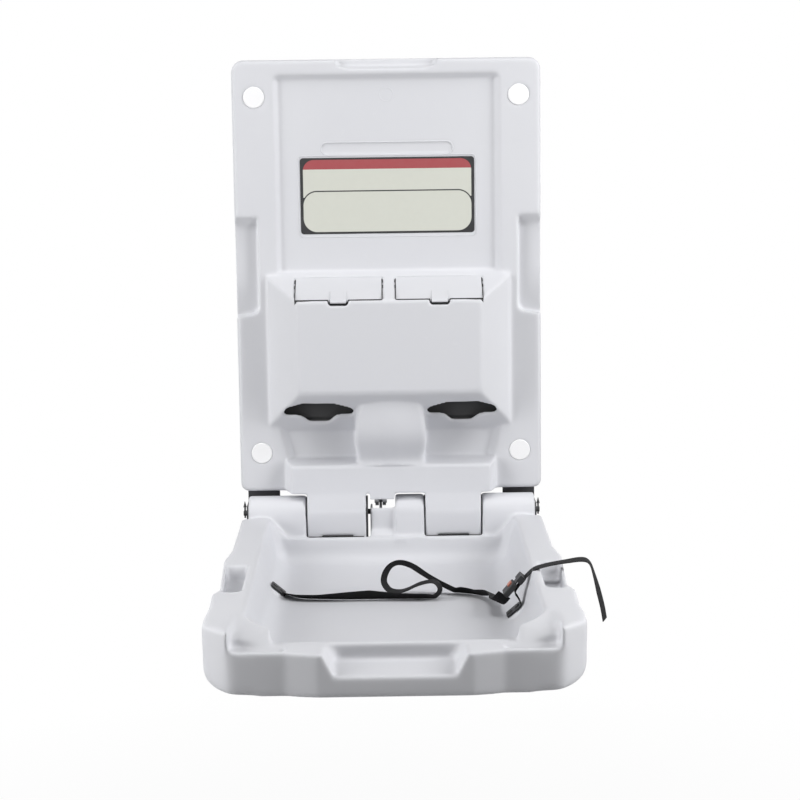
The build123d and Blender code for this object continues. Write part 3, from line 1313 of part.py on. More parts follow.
def anchor_boss(place):
    size = (ANCHOR_LENGTH + 2 * BOSS_MARGIN, ANCHOR_WIDTH + 2 * BOSS_MARGIN, BOSS_DEPTH)
    boss = Box(*size, align=(Align.CENTER, Align.CENTER, Align.MAX))
    for offset in anchor_screw_offsets():
        boss = boss - offset * Cylinder(ANCHOR_SCREW_RADIUS + SEAT_CLEARANCE, 2 * ANCHOR_SCREW_LENGTH)
    return place * boss


def anchor_plate(place):
    lift = Location((0, 0, STRAP_THICKNESS + SEAT_CLEARANCE))
    plate = Box(ANCHOR_LENGTH, ANCHOR_WIDTH, ANCHOR_THICKNESS, align=(Align.CENTER, Align.CENTER, Align.MIN))
    plate = fillet(plate.edges().filter_by(Axis.Z), ANCHOR_CORNER)
    for offset in anchor_screw_offsets():
        plate = plate - offset * Cylinder(ANCHOR_SCREW_RADIUS + SEAT_CLEARANCE, CUT)
    return place * lift * plate


def anchor_screws():
    screws = []
    head_seat = STRAP_THICKNESS + ANCHOR_THICKNESS + 2 * SEAT_CLEARANCE
    for place in anchor_places():
        for offset in anchor_screw_offsets():
            head = Cylinder(
                ANCHOR_SCREW_HEAD_RADIUS, ANCHOR_SCREW_HEAD_HEIGHT,
                align=(Align.CENTER, Align.CENTER, Align.MIN)
            )
            head = chamfer(head.edges().sort_by(Axis.Z)[-1], ANCHOR_SCREW_HEAD_HEIGHT / 2)
            shank = Cylinder(
                ANCHOR_SCREW_RADIUS, ANCHOR_SCREW_LENGTH, align=(Align.CENTER, Align.CENTER, Align.MAX)
            )
            screws.append(place * offset * Location((0, 0, head_seat)) * (head + shank))
    return screws


def strap_holes(place):
    holes = [
        place * offset * Cylinder(ANCHOR_SCREW_RADIUS + SEAT_CLEARANCE, CUT)
        for offset in anchor_screw_offsets()
    ]
    return holes[0] + holes[1]


def buckle_place(along=0.0, up=0.0):
    """A place on the buckle's line. Its X runs up the line, and its Z stands off the basin's wall."""
    foot = Location((BUCKLE_FOOT_X, -BUCKLE_REACH, -RIM_DROP - BUCKLE_FOOT_DEPTH))
    return foot * Rotation(0, -BUCKLE_TILT, 0) * Location((along, 0, up))


def buckle_block(along_from, along_to, width, up_from, up_to):
    size = (along_to - along_from, width, up_to - up_from)
    return Location((along_from, 0, up_from)) * Box(*size, align=(Align.MIN, Align.CENTER, Align.MIN))


def buckle_body():
    half = BUCKLE_THICKNESS / 2
    body = fillet(buckle_block(0, BUCKLE_LENGTH, BUCKLE_WIDTH, -half, half).edges(), BUCKLE_EDGE)
    play = TONGUE_CLEARANCE
    mouth = buckle_block(
        TONGUE_START - BUCKLE_EDGE, BUCKLE_LENGTH + CUT, TONGUE_WIDTH + 2 * play,
        -TONGUE_THICKNESS / 2 - play, TONGUE_THICKNESS / 2 + play
    )
    reach = STRAP_THICKNESS / 2 + WEBBING_CLEARANCE
    tail = buckle_block(-CUT, 2 * BUCKLE_EDGE, STRAP_WIDTH + 2 * WEBBING_CLEARANCE, -reach, reach)
    gap = BUTTON_CLEARANCE
    well = buckle_block(
        BUTTON_START - gap, BUTTON_START + BUTTON_LENGTH + gap, BUTTON_WIDTH + 2 * gap, BUTTON_FLOOR, CUT
    )
    return buckle_place() * (body - mouth - tail - well)


def buckle_button():
    top = BUCKLE_THICKNESS / 2 + BUTTON_PROUD
    foot = BUTTON_FLOOR + BUTTON_TRAVEL + BUTTON_CLEARANCE / 2
    button = buckle_block(BUTTON_START, BUTTON_START + BUTTON_LENGTH, BUTTON_WIDTH, foot, top)
    return buckle_place() * fillet(button.faces().sort_by(Axis.Z)[-1].edges(), BUTTON_PROUD / 3)


def buckle_tongue():
    """The flat tongue, with the adjuster that the right strap runs through."""
    half = TONGUE_THICKNESS / 2
    tongue = buckle_block(TONGUE_START, ADJUSTER_START + BUCKLE_EDGE, TONGUE_WIDTH, -half, half)
    tongue = fillet(tongue.edges().filter_by(Axis.Z).sort_by(Axis.X)[:2], TONGUE_WIDTH / 6)
    low = -WEBBING_LINE - STRAP_THICKNESS / 2 - WEBBING_CLEARANCE - BUCKLE_EDGE / 2
    end = ADJUSTER_START + ADJUSTER_LENGTH
    adjuster = buckle_block(ADJUSTER_START, end, BUCKLE_WIDTH, low, ADJUSTER_TOP)
    adjuster = fillet(adjuster.edges().filter_by(Axis.X), BUCKLE_EDGE / 2)
    reach = STRAP_THICKNESS / 2 + WEBBING_CLEARANCE
    slot = buckle_block(
        ADJUSTER_START - CUT, end + CUT, STRAP_WIDTH + 2 * WEBBING_CLEARANCE, -WEBBING_LINE - reach,
        -WEBBING_LINE + reach
    )
    return buckle_place() * (tongue + adjuster - slot)


def webbing_sweep(points, radii):
    """Webbing that keeps one reach, along (x, height) points."""
    path = FilletPolyline(*[(x, -BUCKLE_REACH, height) for x, height in points], radius=radii)
    section = Plane(
        origin=path @ 0, x_dir=(0, 1, 0), z_dir=path % 0
    ) * Rectangle(STRAP_WIDTH, STRAP_THICKNESS)
    return sweep(section, path=path)


def strap_right():
    """From the right anchor up behind the buckle, through the adjuster, over the rim and down."""
    anchor = anchor_place(1, BUCKLE_REACH) * Location((0, 0, STRAP_THICKNESS / 2))
    start = anchor * Location((-ANCHOR_LENGTH / 2, 0, 0))
    end = anchor * Location((ANCHOR_LENGTH / 2 + BOSS_MARGIN * 1.4, 0, 0))
    bend = buckle_place(BUCKLE_LENGTH, -WEBBING_LINE)
    level = -RIM_DROP + STRAP_THICKNESS / 2 + WEBBING_CLEARANCE
    lean = math.radians(BUCKLE_TILT)
    rim_x = bend.position.X + (level - bend.position.Z) / math.tan(lean)
    edge = BED_POCKET_HALF_WIDTH
    crown = level + TAIL_RISE
    points = [
        (start.position.X, start.position.Z), (end.position.X, end.position.Z),
        (bend.position.X, bend.position.Z), (rim_x, level), (POCKET_INNER, level),
        (edge - POCKET_CORNER, crown), (edge + TAIL_OUT / 2, crown),
        (edge + TAIL_OUT * 0.8, level - TAIL_RISE), (edge + TAIL_OUT, -TAIL_END_DROP)
    ]
    radii = [BUCKLE_EDGE * 2, BUCKLE_EDGE * 3, TAIL_BEND - BUCKLE_EDGE / 2, CUT / 2, CUT, CUT, CUT]
    return webbing_sweep(points, radii) - strap_holes(anchor_place(1, BUCKLE_REACH))


def tilt_at(share):
    """The webbing's tilt at a share of its length, between the values of LOOP_TILTS."""
    place = share * (len(LOOP_TILTS) - 1)
    low = min(int(place), len(LOOP_TILTS) - 2)
    return math.radians(LOOP_TILTS[low] + (LOOP_TILTS[low + 1] - LOOP_TILTS[low]) * (place - low))


def strap_left():
    """Loose webbing from the left anchor to the buckle, lofted along a curve that loops over itself."""
    place = anchor_place(-1, ANCHOR_REACH_LEFT)
    middle = place * Location((0, 0, STRAP_THICKNESS / 2))
    start = middle * Location((-ANCHOR_LENGTH / 2 - BOSS_MARGIN, 0, 0))
    held = Box(ANCHOR_LENGTH, STRAP_WIDTH, STRAP_THICKNESS, align=(Align.MIN, Align.CENTER, Align.CENTER))
    finish = buckle_place(-BUCKLE_EDGE / 2)
    tucked = Box(
        2 * BUCKLE_EDGE, STRAP_WIDTH, STRAP_THICKNESS, align=(Align.MIN, Align.CENTER, Align.CENTER)
    )
    floor = -RIM_DROP - BASIN_DEPTH
    lead = buckle_place(-BUCKLE_LENGTH / 2)
    middles = [Vector(x, -reach, floor + rise) for x, reach, rise in LOOP_PATH]
    path = Spline(start.position, *middles, lead.position, finish.position)
    down = Vector(math.cos(math.radians(ANCHOR_TILT)), 0, -math.sin(math.radians(ANCHOR_TILT)))
    up = Vector(math.cos(math.radians(BUCKLE_TILT)), 0, math.sin(math.radians(BUCKLE_TILT)))
    sections = []
    for step in range(STRAP_SEGMENTS + 1):
        share = step / STRAP_SEGMENTS
        along = down if step == 0 else up if step == STRAP_SEGMENTS else path % share
        tilt = tilt_at(share)
        side = along.cross(Vector(0, 0, 1)).normalized()
        across = side * math.cos(tilt) + side.cross(along).normalized() * math.sin(tilt)
        spot = path @ share
        rest = floor + STRAP_THICKNESS / 2 + WEBBING_CLEARANCE + STRAP_WIDTH / 2 * abs(math.sin(tilt))
        lifted = Vector(spot.X, spot.Y, max(spot.Z, rest))
        sections.append(
            Plane(origin=lifted, x_dir=across, z_dir=along) * Rectangle(STRAP_WIDTH, STRAP_THICKNESS)
        )
    return start * held + loft(sections, ruled=True) + finish * tucked - strap_holes(place)


PARTS = {
    "wall_casing": lambda: wall_casing(),
    "left_mounting_rail": lambda: mirror_x(mounting_rail()),
    "right_mounting_rail": lambda: mounting_rail(),
    "load_washers": lambda: group(load_washers()),
    "screw_caps": lambda: group(screw_caps()),
    "knuckle_bushes": lambda: group(knuckle_bushes()),
    "ear_bushes": lambda: group(ear_bushes()),
    "stop_pads": lambda: group(stop_pads()),
    "lid_pins": lambda: group(lid_pins(LID_INNER) + lid_pins(-LID_OUTER)),
    "left_lid": lambda: mirror_x(lid()),
    "right_lid": lambda: lid(),
    "strut_upper_pin": lambda: strut_upper_pin(),
    "strut_barrel": lambda: strut_barrel(),
    "strut_gland": lambda: strut_gland(),
    "strut_rod": lambda: strut_rod(),
    "strut_piston": lambda: strut_piston(),
    "strut_clevis": lambda: strut_clevis(),
    "hinge_crank": lambda: hinge_crank(),
    "crank_screws": lambda: group(crank_screws()),
    "crank_pin": lambda: crank_pin(),
    "bed_shell": lambda: bed_shell(),
    "hinge_rod": lambda: hinge_rod(),
    "rod_cotters": lambda: group(rod_cotters()),
    "strap_anchors": lambda: group([anchor_plate(place) for place in anchor_places()]),
    "anchor_screws": lambda: group(anchor_screws()),
    "strap_left": lambda: strap_left(),
    "strap_right": lambda: strap_right(),
    "buckle_body": lambda: buckle_body(),
    "buckle_button": lambda: buckle_button(),
    "buckle_tongue": lambda: buckle_tongue(),
}

os.makedirs("parts", exist_ok=True)
for name, make in PARTS.items():
    export_step(make(), os.path.join("parts", name + ".step"))
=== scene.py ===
import math

import bmesh
import bpy
import numpy
from mathutils import Matrix, Vector


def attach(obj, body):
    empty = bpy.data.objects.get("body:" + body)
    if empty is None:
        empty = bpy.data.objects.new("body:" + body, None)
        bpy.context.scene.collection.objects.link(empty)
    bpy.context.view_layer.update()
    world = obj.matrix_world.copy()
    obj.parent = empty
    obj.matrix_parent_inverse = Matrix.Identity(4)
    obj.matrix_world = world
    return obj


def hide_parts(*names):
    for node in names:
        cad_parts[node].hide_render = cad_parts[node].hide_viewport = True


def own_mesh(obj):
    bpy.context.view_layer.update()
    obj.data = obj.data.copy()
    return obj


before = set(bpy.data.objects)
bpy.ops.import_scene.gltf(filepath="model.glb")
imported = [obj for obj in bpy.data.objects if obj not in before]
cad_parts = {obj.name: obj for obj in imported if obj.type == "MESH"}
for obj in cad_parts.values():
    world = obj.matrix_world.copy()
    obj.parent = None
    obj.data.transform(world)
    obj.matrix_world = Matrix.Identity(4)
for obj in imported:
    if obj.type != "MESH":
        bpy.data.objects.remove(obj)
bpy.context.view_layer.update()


# The wall casing is one hollow moulding of light grey polyethylene: a framed panel with the liner
# box, the nose over the strut and two hinge knuckles. Its skin has the fine grain of the mould.
class Wire:
    """One output of a shader node. Sums and products of values add their own Math nodes."""

    def __init__(self, tree, socket=None):
        self.tree = tree
        self.socket = socket

    def node(self, kind, settings=None, inputs=None, output=0):
        """Adds a node of a type, with its settings first and then its sockets' values or links."""
        made = self.tree.nodes.new("ShaderNode" + kind)
        for name, value in (settings or {}).items():
            setattr(made, name, value)
        for name, value in (inputs or {}).items():
            if isinstance(value, Wire):
                self.tree.links.new(value.socket, made.inputs[name])
            else:
                made.inputs[name].default_value = value
        return Wire(self.tree, made.outputs[output] if made.outputs else None)

    def math(self, operation, other=0.0, flipped=False, clamp=False):
        first, second = (other, self) if flipped else (self, other)
        return self.node("Math", {"operation": operation, "use_clamp": clamp}, {0: first, 1: second})

    def __add__(self, other):
        return self.math("ADD", other)

    def __radd__(self, other):
        return self.math("ADD", other, flipped=True)

    def __sub__(self, other):
        return self.math("SUBTRACT", other)

    def __rsub__(self, other):
        return self.math("SUBTRACT", other, flipped=True)

    def __mul__(self, other):
        return self.math("MULTIPLY", other)

    def __rmul__(self, other):
        return self.math("MULTIPLY", other, flipped=True)

    def __truediv__(self, other):
        return self.math("DIVIDE", other)

    def __rtruediv__(self, other):
        return self.math("DIVIDE", other, flipped=True)

    def axis(self, index):
        """One of a vector's three numbers."""
        return self.node("SeparateXYZ", {}, {"Vector": self}, index)

    def bump(self, strength, distance):
        """The normal of a surface with this value as its height."""
        return self.node("Bump", {}, {"Strength": strength, "Distance": distance, "Height": self})

    def noise(self, place, scale, detail=2.0, roughness=0.5):
        inputs = {"Vector": place, "Scale": scale, "Detail": detail, "Roughness": roughness}
        return self.node("TexNoise", {}, inputs)

    def blend(self, share, first, second):
        """A colour between two others."""
        inputs = {"Factor": share, "A": first, "B": second}
        return self.node("Mix", {"data_type": "RGBA"}, inputs, output=2)


def rgba(colour, gain=1.0, lift=0.0):
    """A colour with its alpha, made lighter or darker."""
    return (*(min(1.0, value * gain + lift) for value in colour), 1.0)


def new_material(name):
    """A material with an empty tree, a wire to build the tree on, and the place on the piece."""
    material = bpy.data.materials.new(name)
    material.use_nodes = True
    material.node_tree.nodes.clear()
    start = Wire(material.node_tree)
    place = start.node("TexCoord", output="Object")
    return material, start, place


def finish_material(start, shader_inputs):
    """Ends a tree in one Principled shader."""
    shader = start.node("BsdfPrincipled", {}, shader_inputs)
    start.node("OutputMaterial", {}, {"Surface": shader})


SCUFF_FROM, SCUFF_GAIN = 0.62, 2.4


def moulded_plastic(name, colour, shade, roughness, grain, grain_depth):
    """Rotation-moulded plastic: two close tones in broad clouds, a fine pebbled grain and light scuffs."""
    material, start, place = new_material(name)
    clouds = start.noise(place, scale=7.0, detail=3.0)
    pebbles = start.noise(place, scale=grain, detail=4.0, roughness=0.6)
    scuffs = start.noise(place, scale=46.0, detail=5.0, roughness=0.75)
    scuffed = (scuffs - SCUFF_FROM).math("MULTIPLY", SCUFF_GAIN, clamp=True)
    tone = start.blend(clouds, rgba(colour), rgba(shade))
    finish_material(start, {
        "Base Color": start.blend(scuffed, tone, rgba(colour, gain=1.07)),
        "Roughness": roughness + clouds * 0.08 - scuffed * 0.1,
        "Normal": (pebbles + clouds * 0.12).bump(strength=0.35, distance=grain_depth),
        "Specular IOR Level": 0.42,
    })
    return material


def repaint(material, *names):
    """Gives CAD nodes this material on every slot."""
    for name in names:
        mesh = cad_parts[name].data
        mesh.materials.clear()
        mesh.materials.append(material)


# The liner box's outside: its sloping top and underside, its flat front, and a slanted band on each
# side, whose normal has these shares across and out from the wall.
BOX_TOP, BOX_ROOT, TOP_SLOPE = 0.005, 0.046, 0.5316
BOX_FOOT, BOX_FRONT, UNDER_SLOPE = -0.209, 0.125, 0.9011
BAND_ACROSS, BAND_OUT, BAND_OFFSET = 0.791, 0.612, 0.2090
# The box's wall thickness, and the painted shade inside the liner box: the width of its soft edge and its
# colour.
BOX_SKIN, PAINTED_SHADE_EDGE, PAINTED_SHADE = 0.0034, 0.001, (0.05, 0.05, 0.052)


def box_top(reach):
    """The height of the box's sloping top at a reach, which is a number or a shader value."""
    return BOX_TOP - (reach - BOX_ROOT) * TOP_SLOPE


def box_under(reach):
    """The height of the box's sloping underside at a reach, in the same way."""
    return BOX_FOOT - (BOX_FRONT - reach) * UNDER_SLOPE


def paint_shade_inside(material):
    """Paints shade into the colour of what lies further inside the liner box than its wall is thick, where
    little light falls.
    """
    shader = next(node for node in material.node_tree.nodes if node.type == "BSDF_PRINCIPLED")
    start = Wire(material.node_tree)
    skin_colour = Wire(material.node_tree, shader.inputs["Base Color"].links[0].from_socket)
    place = start.node("TexCoord", output="Object")
    across, reach, height = place.axis(0), 0.0 - place.axis(1), place.axis(2)
    depths = [
        (height - box_under(reach)) / math.hypot(1.0, UNDER_SLOPE),
        BAND_OFFSET - across.math("ABSOLUTE") * BAND_ACROSS - reach * BAND_OUT,
        BOX_FRONT - reach,
        reach - BOX_ROOT + BOX_SKIN,
    ]
    deep = (box_top(reach) - height) / math.hypot(1.0, TOP_SLOPE)
    for depth in depths:
        deep = deep.math("MINIMUM", depth)
    inside = ((deep - BOX_SKIN) / PAINTED_SHADE_EDGE).math("MINIMUM", 1.0).math("MAXIMUM", 0.0)
    # Painted shade: deep inside the box the skin's colour turns near black.
    painted_shade = start.blend(inside, skin_colour, rgba(PAINTED_SHADE))
    material.node_tree.links.new(painted_shade.socket, shader.inputs["Base Color"])


def bridge(sheet, low, high):
    """Faces between two closed rings of points."""
    for index in range(len(low)):
        after = (index + 1) % len(low)
        sheet.faces.new((low[index], low[after], high[after], high[index]))


def loft(sheet, rings):
    """A closed form through rings of points, with a face over each end."""
    for low, high in zip(rings, rings[1:]):
        bridge(sheet, low, high)
    sheet.faces.new(reversed(rings[0]))
    sheet.faces.new(rings[-1])


def add_object(name, data):
    """Puts a mesh, lamp or camera in the scene."""
    made = bpy.data.objects.new(name, data)
    bpy.context.collection.objects.link(made)
    return made


def add_piece(name, sheet, smooth=False):
    """Puts a bmesh in the scene as an object at the origin."""
    bmesh.ops.recalc_face_normals(sheet, faces=sheet.faces)
    mesh = bpy.data.meshes.new(name)
    sheet.to_mesh(mesh)
    sheet.free()
    if smooth:
        mesh.shade_smooth()
    return add_object(name, mesh)


def block(name, corners, depth):
    """A closed block from a face's corners and the way it is thick."""
    sheet = bmesh.new()
    near = [sheet.verts.new(corner) for corner in corners]
    far = [sheet.verts.new(Vector(corner) + Vector(depth)) for corner in corners]
    loft(sheet, [near, far])
    return add_piece(name, sheet)


def settled(piece):
    """The piece's mesh with its modifiers worked in."""
    graph = bpy.context.evaluated_depsgraph_get()
    mesh = bpy.data.meshes.new_from_object(piece.evaluated_get(graph))
    piece.modifiers.clear()
    piece.data = mesh
    return mesh


def remeshed(skin, voxel):
    """The skin's mesh after an even remesh, and its points as rows of x, y and z."""
    remesh = skin.modifiers.new("remesh", "REMESH")
    remesh.mode, remesh.voxel_size = "VOXEL", voxel
    mesh = settled(skin)
    points = numpy.empty(len(mesh.vertices) * 3)
    mesh.vertices.foreach_get("co", points)
    return mesh, points.reshape(-1, 3)


def ramp(value, low, high):
    """A share that grows softly from 0 at low to 1 at high."""
    share = numpy.clip((value - low) / (high - low), 0.0, 1.0)
    return share * share * (3 - 2 * share)


def soften(skin, rounds, areas, kept_share, material):
    """Smooths a skin, then each (name, weights, rounds) area of it, thins it and paints it."""
    smoothings = [("", rounds)]
    for name, weights, more_rounds in areas:
        group = skin.vertex_groups.new(name=name)
        for tenth in range(1, 11):
            chosen = numpy.nonzero((weights * 10).astype(int) == tenth)[0]
            group.add([int(index) for index in chosen], tenth / 10, "REPLACE")
        smoothings.append((name, more_rounds))
    for name, iterations in smoothings:
        smooth = skin.modifiers.new("smooth", "SMOOTH")
        smooth.factor, smooth.iterations, smooth.vertex_group = 0.5, iterations, name
    thin = skin.modifiers.new("thin", "DECIMATE")
    thin.ratio = kept_share
    mesh = settled(skin)
    mesh.materials.clear()
    mesh.materials.append(material)
    mesh.shade_smooth()


# Each slanted band is cut from the box's corner and closed behind by a slab a hair under the cut.
FACE_HALF, BAND_ROOT, BAND_ROOT_HALF = 0.1675, 0.0500, 0.2255
CUT_HALF, CUT_FRONT, CUT_FOOT, CUT_HEIGHT = 0.26, 0.15, -0.284, 0.31
SLAB_FRONT_INSET, SLAB_ROOT_INSET, SLAB_ROOT_LIFT, SLAB_END_GAP = 0.0002, 0.0046, 0.0055, 0.001
SLAB_INWARD, SLAB_BACKWARD = 0.0037, 0.0028
CASING_VOXEL, CASING_ROUNDS, CASING_SIDE_ROUNDS, CASING_KEPT_SHARE = 0.0025, 3, 18, 0.45
SIDES_ACROSS, SIDES_REACH, SIDES_HEIGHT = (0.135, 0.165), (0.040, 0.050), (-0.315, -0.295)


def side_cut(side):
    """What the cut takes from the box at one side."""
    outline = [
        (FACE_HALF, BOX_FRONT), (BAND_ROOT_HALF, BAND_ROOT), (CUT_HALF, BAND_ROOT), (CUT_HALF, CUT_FRONT),
        (FACE_HALF, CUT_FRONT)
    ]
    return block("side_cut", [(side * x, -reach, CUT_FOOT) for x, reach in outline], (0.0, 0.0, CUT_HEIGHT))


def side_slab(side):
    """The slab that closes the box behind the cut at one side."""
    front = (FACE_HALF - SLAB_FRONT_INSET, BOX_FRONT - SLAB_FRONT_INSET)
    root = (BAND_ROOT_HALF - SLAB_ROOT_INSET, BAND_ROOT + SLAB_ROOT_LIFT)
    tops = [(side * x, -reach, box_top(reach) - SLAB_END_GAP) for x, reach in (front, root)]
    feet = [(side * x, -reach, box_under(reach) + SLAB_END_GAP) for x, reach in (front, root)]
    depth = (-side * SLAB_INWARD, SLAB_BACKWARD, 0.0)
    return block("side_slab", [tops[0], feet[0], feet[1], tops[1]], depth)


def casing_skin():
    """The casing with the liner box's broad slanted sides, and every edge a little rounder."""
    skin = add_object("casing_skin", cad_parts["wall_casing"].data.copy())
    cuts = [side_cut(side) for side in (-1, 1)]
    slabs = [side_slab(side) for side in (-1, 1)]
    for operation, blocks in (("DIFFERENCE", cuts), ("UNION", slabs)):
        for tool in blocks:
            change = skin.modifiers.new("change", "BOOLEAN")
            change.operation, change.object, change.solver = operation, tool, "EXACT"
    points = remeshed(skin, CASING_VOXEL)[1]
    for tool in cuts + slabs:
        bpy.data.objects.remove(tool)
    x, reach, height = points[:, 0], -points[:, 1], points[:, 2]
    sides = ramp(numpy.abs(x), *SIDES_ACROSS) * ramp(reach, *SIDES_REACH) * ramp(height, *SIDES_HEIGHT)
    areas = [("sides", sides, CASING_SIDE_ROUNDS)]
    soften(skin, CASING_ROUNDS, areas, CASING_KEPT_SHARE, casing_plastic)
    return skin


shell_plastic = moulded_plastic(
    "shell_plastic", colour=(0.63, 0.635, 0.66), shade=(0.60, 0.605, 0.635), roughness=0.46,
    grain=850.0, grain_depth=0.00025
)
# The casing's copy of the plastic carries painted shade inside the liner box.
casing_plastic = shell_plastic.copy()
casing_plastic.name = "casing_plastic"
paint_shade_inside(casing_plastic)
repaint(casing_plastic, "wall_casing")
casing = casing_skin()
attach(casing, "wall")
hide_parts("wall_casing")


# The liner box's two lids are plain mouldings of the same plastic. Thin near-black bars line the
# recess that each lies in, as painted shade in the seams. Each lid has a moulded pull tab on its front
# edge, which stands a little proud and reaches down over the finger dip.
def on_box_top(*points):
    """A profile's (reach, height) points, from how far each stands over the box's sloping top."""
    return [(reach, box_top(reach) + rise) for reach, rise in points]


LID_ENDS, LID_REAR, LID_FOLD = (0.0133, 0.1706), 0.0575, 0.0960
SEAM_SHADE_GAP, SEAM_SHADE_PROUD, SEAM_SHADE_FRONT_PROUD = 0.0002, 0.0003, 0.0002
SIDE_REAR_GAP, SIDE_FRONT, SIDE_DEPTH, SIDE_REAR_DEPTH, SIDE_WIDTH = 0.004, 0.1206, 0.0040, 0.0060, 0.0016
SIDE_REAR = LID_REAR + SIDE_REAR_GAP
KNUCKLE_REARS, KNUCKLE_LENGTH, KNUCKLE_DEPTH, KNUCKLE_WIDTH = (0.0640, 0.0800), 0.007, 0.003, 0.0027
FRONT_SPANS = ((0.0122, 0.0745), (0.1105, 0.1718))
SEAM_SHADE_SIDE = on_box_top(
    (SIDE_REAR, SEAM_SHADE_PROUD), (LID_FOLD, SEAM_SHADE_PROUD), (SIDE_FRONT, SEAM_SHADE_FRONT_PROUD),
    (SIDE_FRONT, -SIDE_DEPTH), (LID_FOLD, -SIDE_DEPTH)
) + [(SIDE_REAR, box_top(LID_REAR) - SIDE_REAR_DEPTH)]
SEAM_SHADE_FRONT = on_box_top(
    (0.1192, -0.0021), (0.1207, SEAM_SHADE_FRONT_PROUD), (0.1216, SEAM_SHADE_FRONT_PROUD), (0.1216, -0.0050)
) + [(0.1192, -0.0440)]
TAB_PROFILE = on_box_top(
    (0.1210, -0.0022), (0.0975, -0.0006), (0.0985, 0.0008), (0.1195, 0.0002), (0.1225, 0.0),
    (0.1240, -0.0016)
) + [(0.1243, -0.0395), (0.1236, -0.0412), (0.1224, -0.0412), (0.1216, -0.0400)]
TAB_SPAN, TAB_EDGE = (0.0780, 0.1070), 0.0004


def along_x(sheet, profile, x_from, x_to):
    """A bar with a (reach, height) profile, from one x to another."""
    rings = [[sheet.verts.new((x, -reach, height)) for reach, height in profile] for x in (x_from, x_to)]
    loft(sheet, rings)


def lid_seam_shades():
    """The dark bars of painted shade beside and in front of both lids, with a wider piece at each lid
    knuckle.
    """
    sheet = bmesh.new()
    for hand in (-1, 1):
        for x, outward in zip(LID_ENDS, (-1, 1)):
            near = hand * (x + outward * SEAM_SHADE_GAP)
            along_x(sheet, SEAM_SHADE_SIDE, near, hand * (x + outward * SIDE_WIDTH))
            for rear in KNUCKLE_REARS:
                front = rear + KNUCKLE_LENGTH
                knuckle = on_box_top(
                    (rear, SEAM_SHADE_PROUD), (front, SEAM_SHADE_PROUD), (front, -KNUCKLE_DEPTH),
                    (rear, -KNUCKLE_DEPTH)
                )
                along_x(sheet, knuckle, near, hand * (x + outward * KNUCKLE_WIDTH))
        for x_from, x_to in FRONT_SPANS:
            along_x(sheet, SEAM_SHADE_FRONT, hand * x_from, hand * x_to)
    return add_piece("lid_seam_shades", sheet)


def lid_tab(name, hand):
    """A pull tab with small round edges, on the left lid for hand -1 and on the right one for 1."""
    sheet = bmesh.new()
    along_x(sheet, TAB_PROFILE, hand * TAB_SPAN[0], hand * TAB_SPAN[1])
    tab = add_piece(name, sheet)
    round_edges = tab.modifiers.new("edges", "BEVEL")
    round_edges.width, round_edges.segments = TAB_EDGE, 2
    tab.data.materials.append(lid_plastic)
    return tab


lid_plastic = moulded_plastic(
    "lid_plastic", colour=(0.61, 0.615, 0.64), shade=(0.585, 0.59, 0.62), roughness=0.42,
    grain=950.0, grain_depth=0.0002
)
repaint(lid_plastic, "left_lid", "right_lid")
# Painted shade: a near-black finish for the bars that darken the seams around the lids.
seam_shade_black, start, place = new_material("seam_shade_black")
seam_shade_tone = start.noise(place, scale=300.0)
finish_material(start, {
    "Base Color": start.blend(seam_shade_tone, rgba((0.02, 0.02, 0.021)), rgba((0.035, 0.035, 0.036))),
    "Roughness": 0.7 + start.noise(place, scale=900.0) * 0.2,
})
seam_shades = lid_seam_shades()
seam_shades.data.materials.append(seam_shade_black)
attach(seam_shades, "wall")
for hand, body in ((-1, "left_lid"), (1, "right_lid")):
    tab = lid_tab(body + "_tab", hand)
    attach(tab, body)


# Four round snap-in caps close the screw wells. They are of smooth white plastic, injection
# moulded, and whiter and glossier than the casing.
cap_plastic = moulded_plastic(
    "cap_plastic", colour=(0.86, 0.86, 0.865), shade=(0.83, 0.83, 0.84), roughness=0.3,
    grain=400.0, grain_depth=0.00005
)
repaint(cap_plastic, "screw_caps")


# Three fine raised beads are moulded on the casing's panel, as upright or wide rectangles with
# round corners: one around the plate, one above it and one near the top edge.
CORNER_STEPS, BEAD_STEPS, BEAD_RISE_SHARE = 8, 5, 0.7
RIMS = (
    {"half_width": 0.1635, "foot": 0.0728, "top": 0.2222, "corner": 0.0085, "reach": 0.0358, "bead": 0.0011},
    {"half_width": 0.1215, "foot": 0.2238, "top": 0.2466, "corner": 0.0113, "reach": 0.0356, "bead": 0.0012},
    {"half_width": 0.0125, "foot": 0.3202, "top": 0.3452, "corner": 0.0124, "reach": 0.0356, "bead": 0.0010},
)


def rounded_corners(half_width, foot, top, corner):
    """The corner arcs of an upright rectangle: each point's arc centre and its way out from it."""
    arcs = []
    for side, end, turn in ((1, 1, 0), (-1, 1, 90), (-1, -1, 180), (1, -1, 270)):
        centre = (side * (half_width - corner), top - corner if end > 0 else foot + corner)
        for step in range(CORNER_STEPS + 1):
            angle = math.radians(turn + step * 90 / CORNER_STEPS)
            arcs.append((*centre, math.cos(angle), math.sin(angle)))
    return arcs


def raised_rim(sheet, half_width, foot, top, corner, reach, bead):
    """A rounded bead along an upright rectangle with round corners."""
    rings = []
    for x, z, out_x, out_z in rounded_corners(half_width, foot, top, corner):
        ring = []
        for step in range(BEAD_STEPS + 1):
            angle = math.pi * step / BEAD_STEPS
            away = corner + bead * math.cos(angle)
            front = reach + bead * BEAD_RISE_SHARE * math.sin(angle)
            ring.append(sheet.verts.new((x + away * out_x, -front, z + away * out_z)))
        rings.append(ring)
    for index, ring in enumerate(rings):
        bridge(sheet, ring, rings[(index + 1) % len(rings)])


sheet = bmesh.new()
for sizes in RIMS:
    raised_rim(sheet, **sizes)
rims = add_piece("panel_rims", sheet, smooth=True)
rims.data.materials.append(shell_plastic)
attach(rims, "wall")


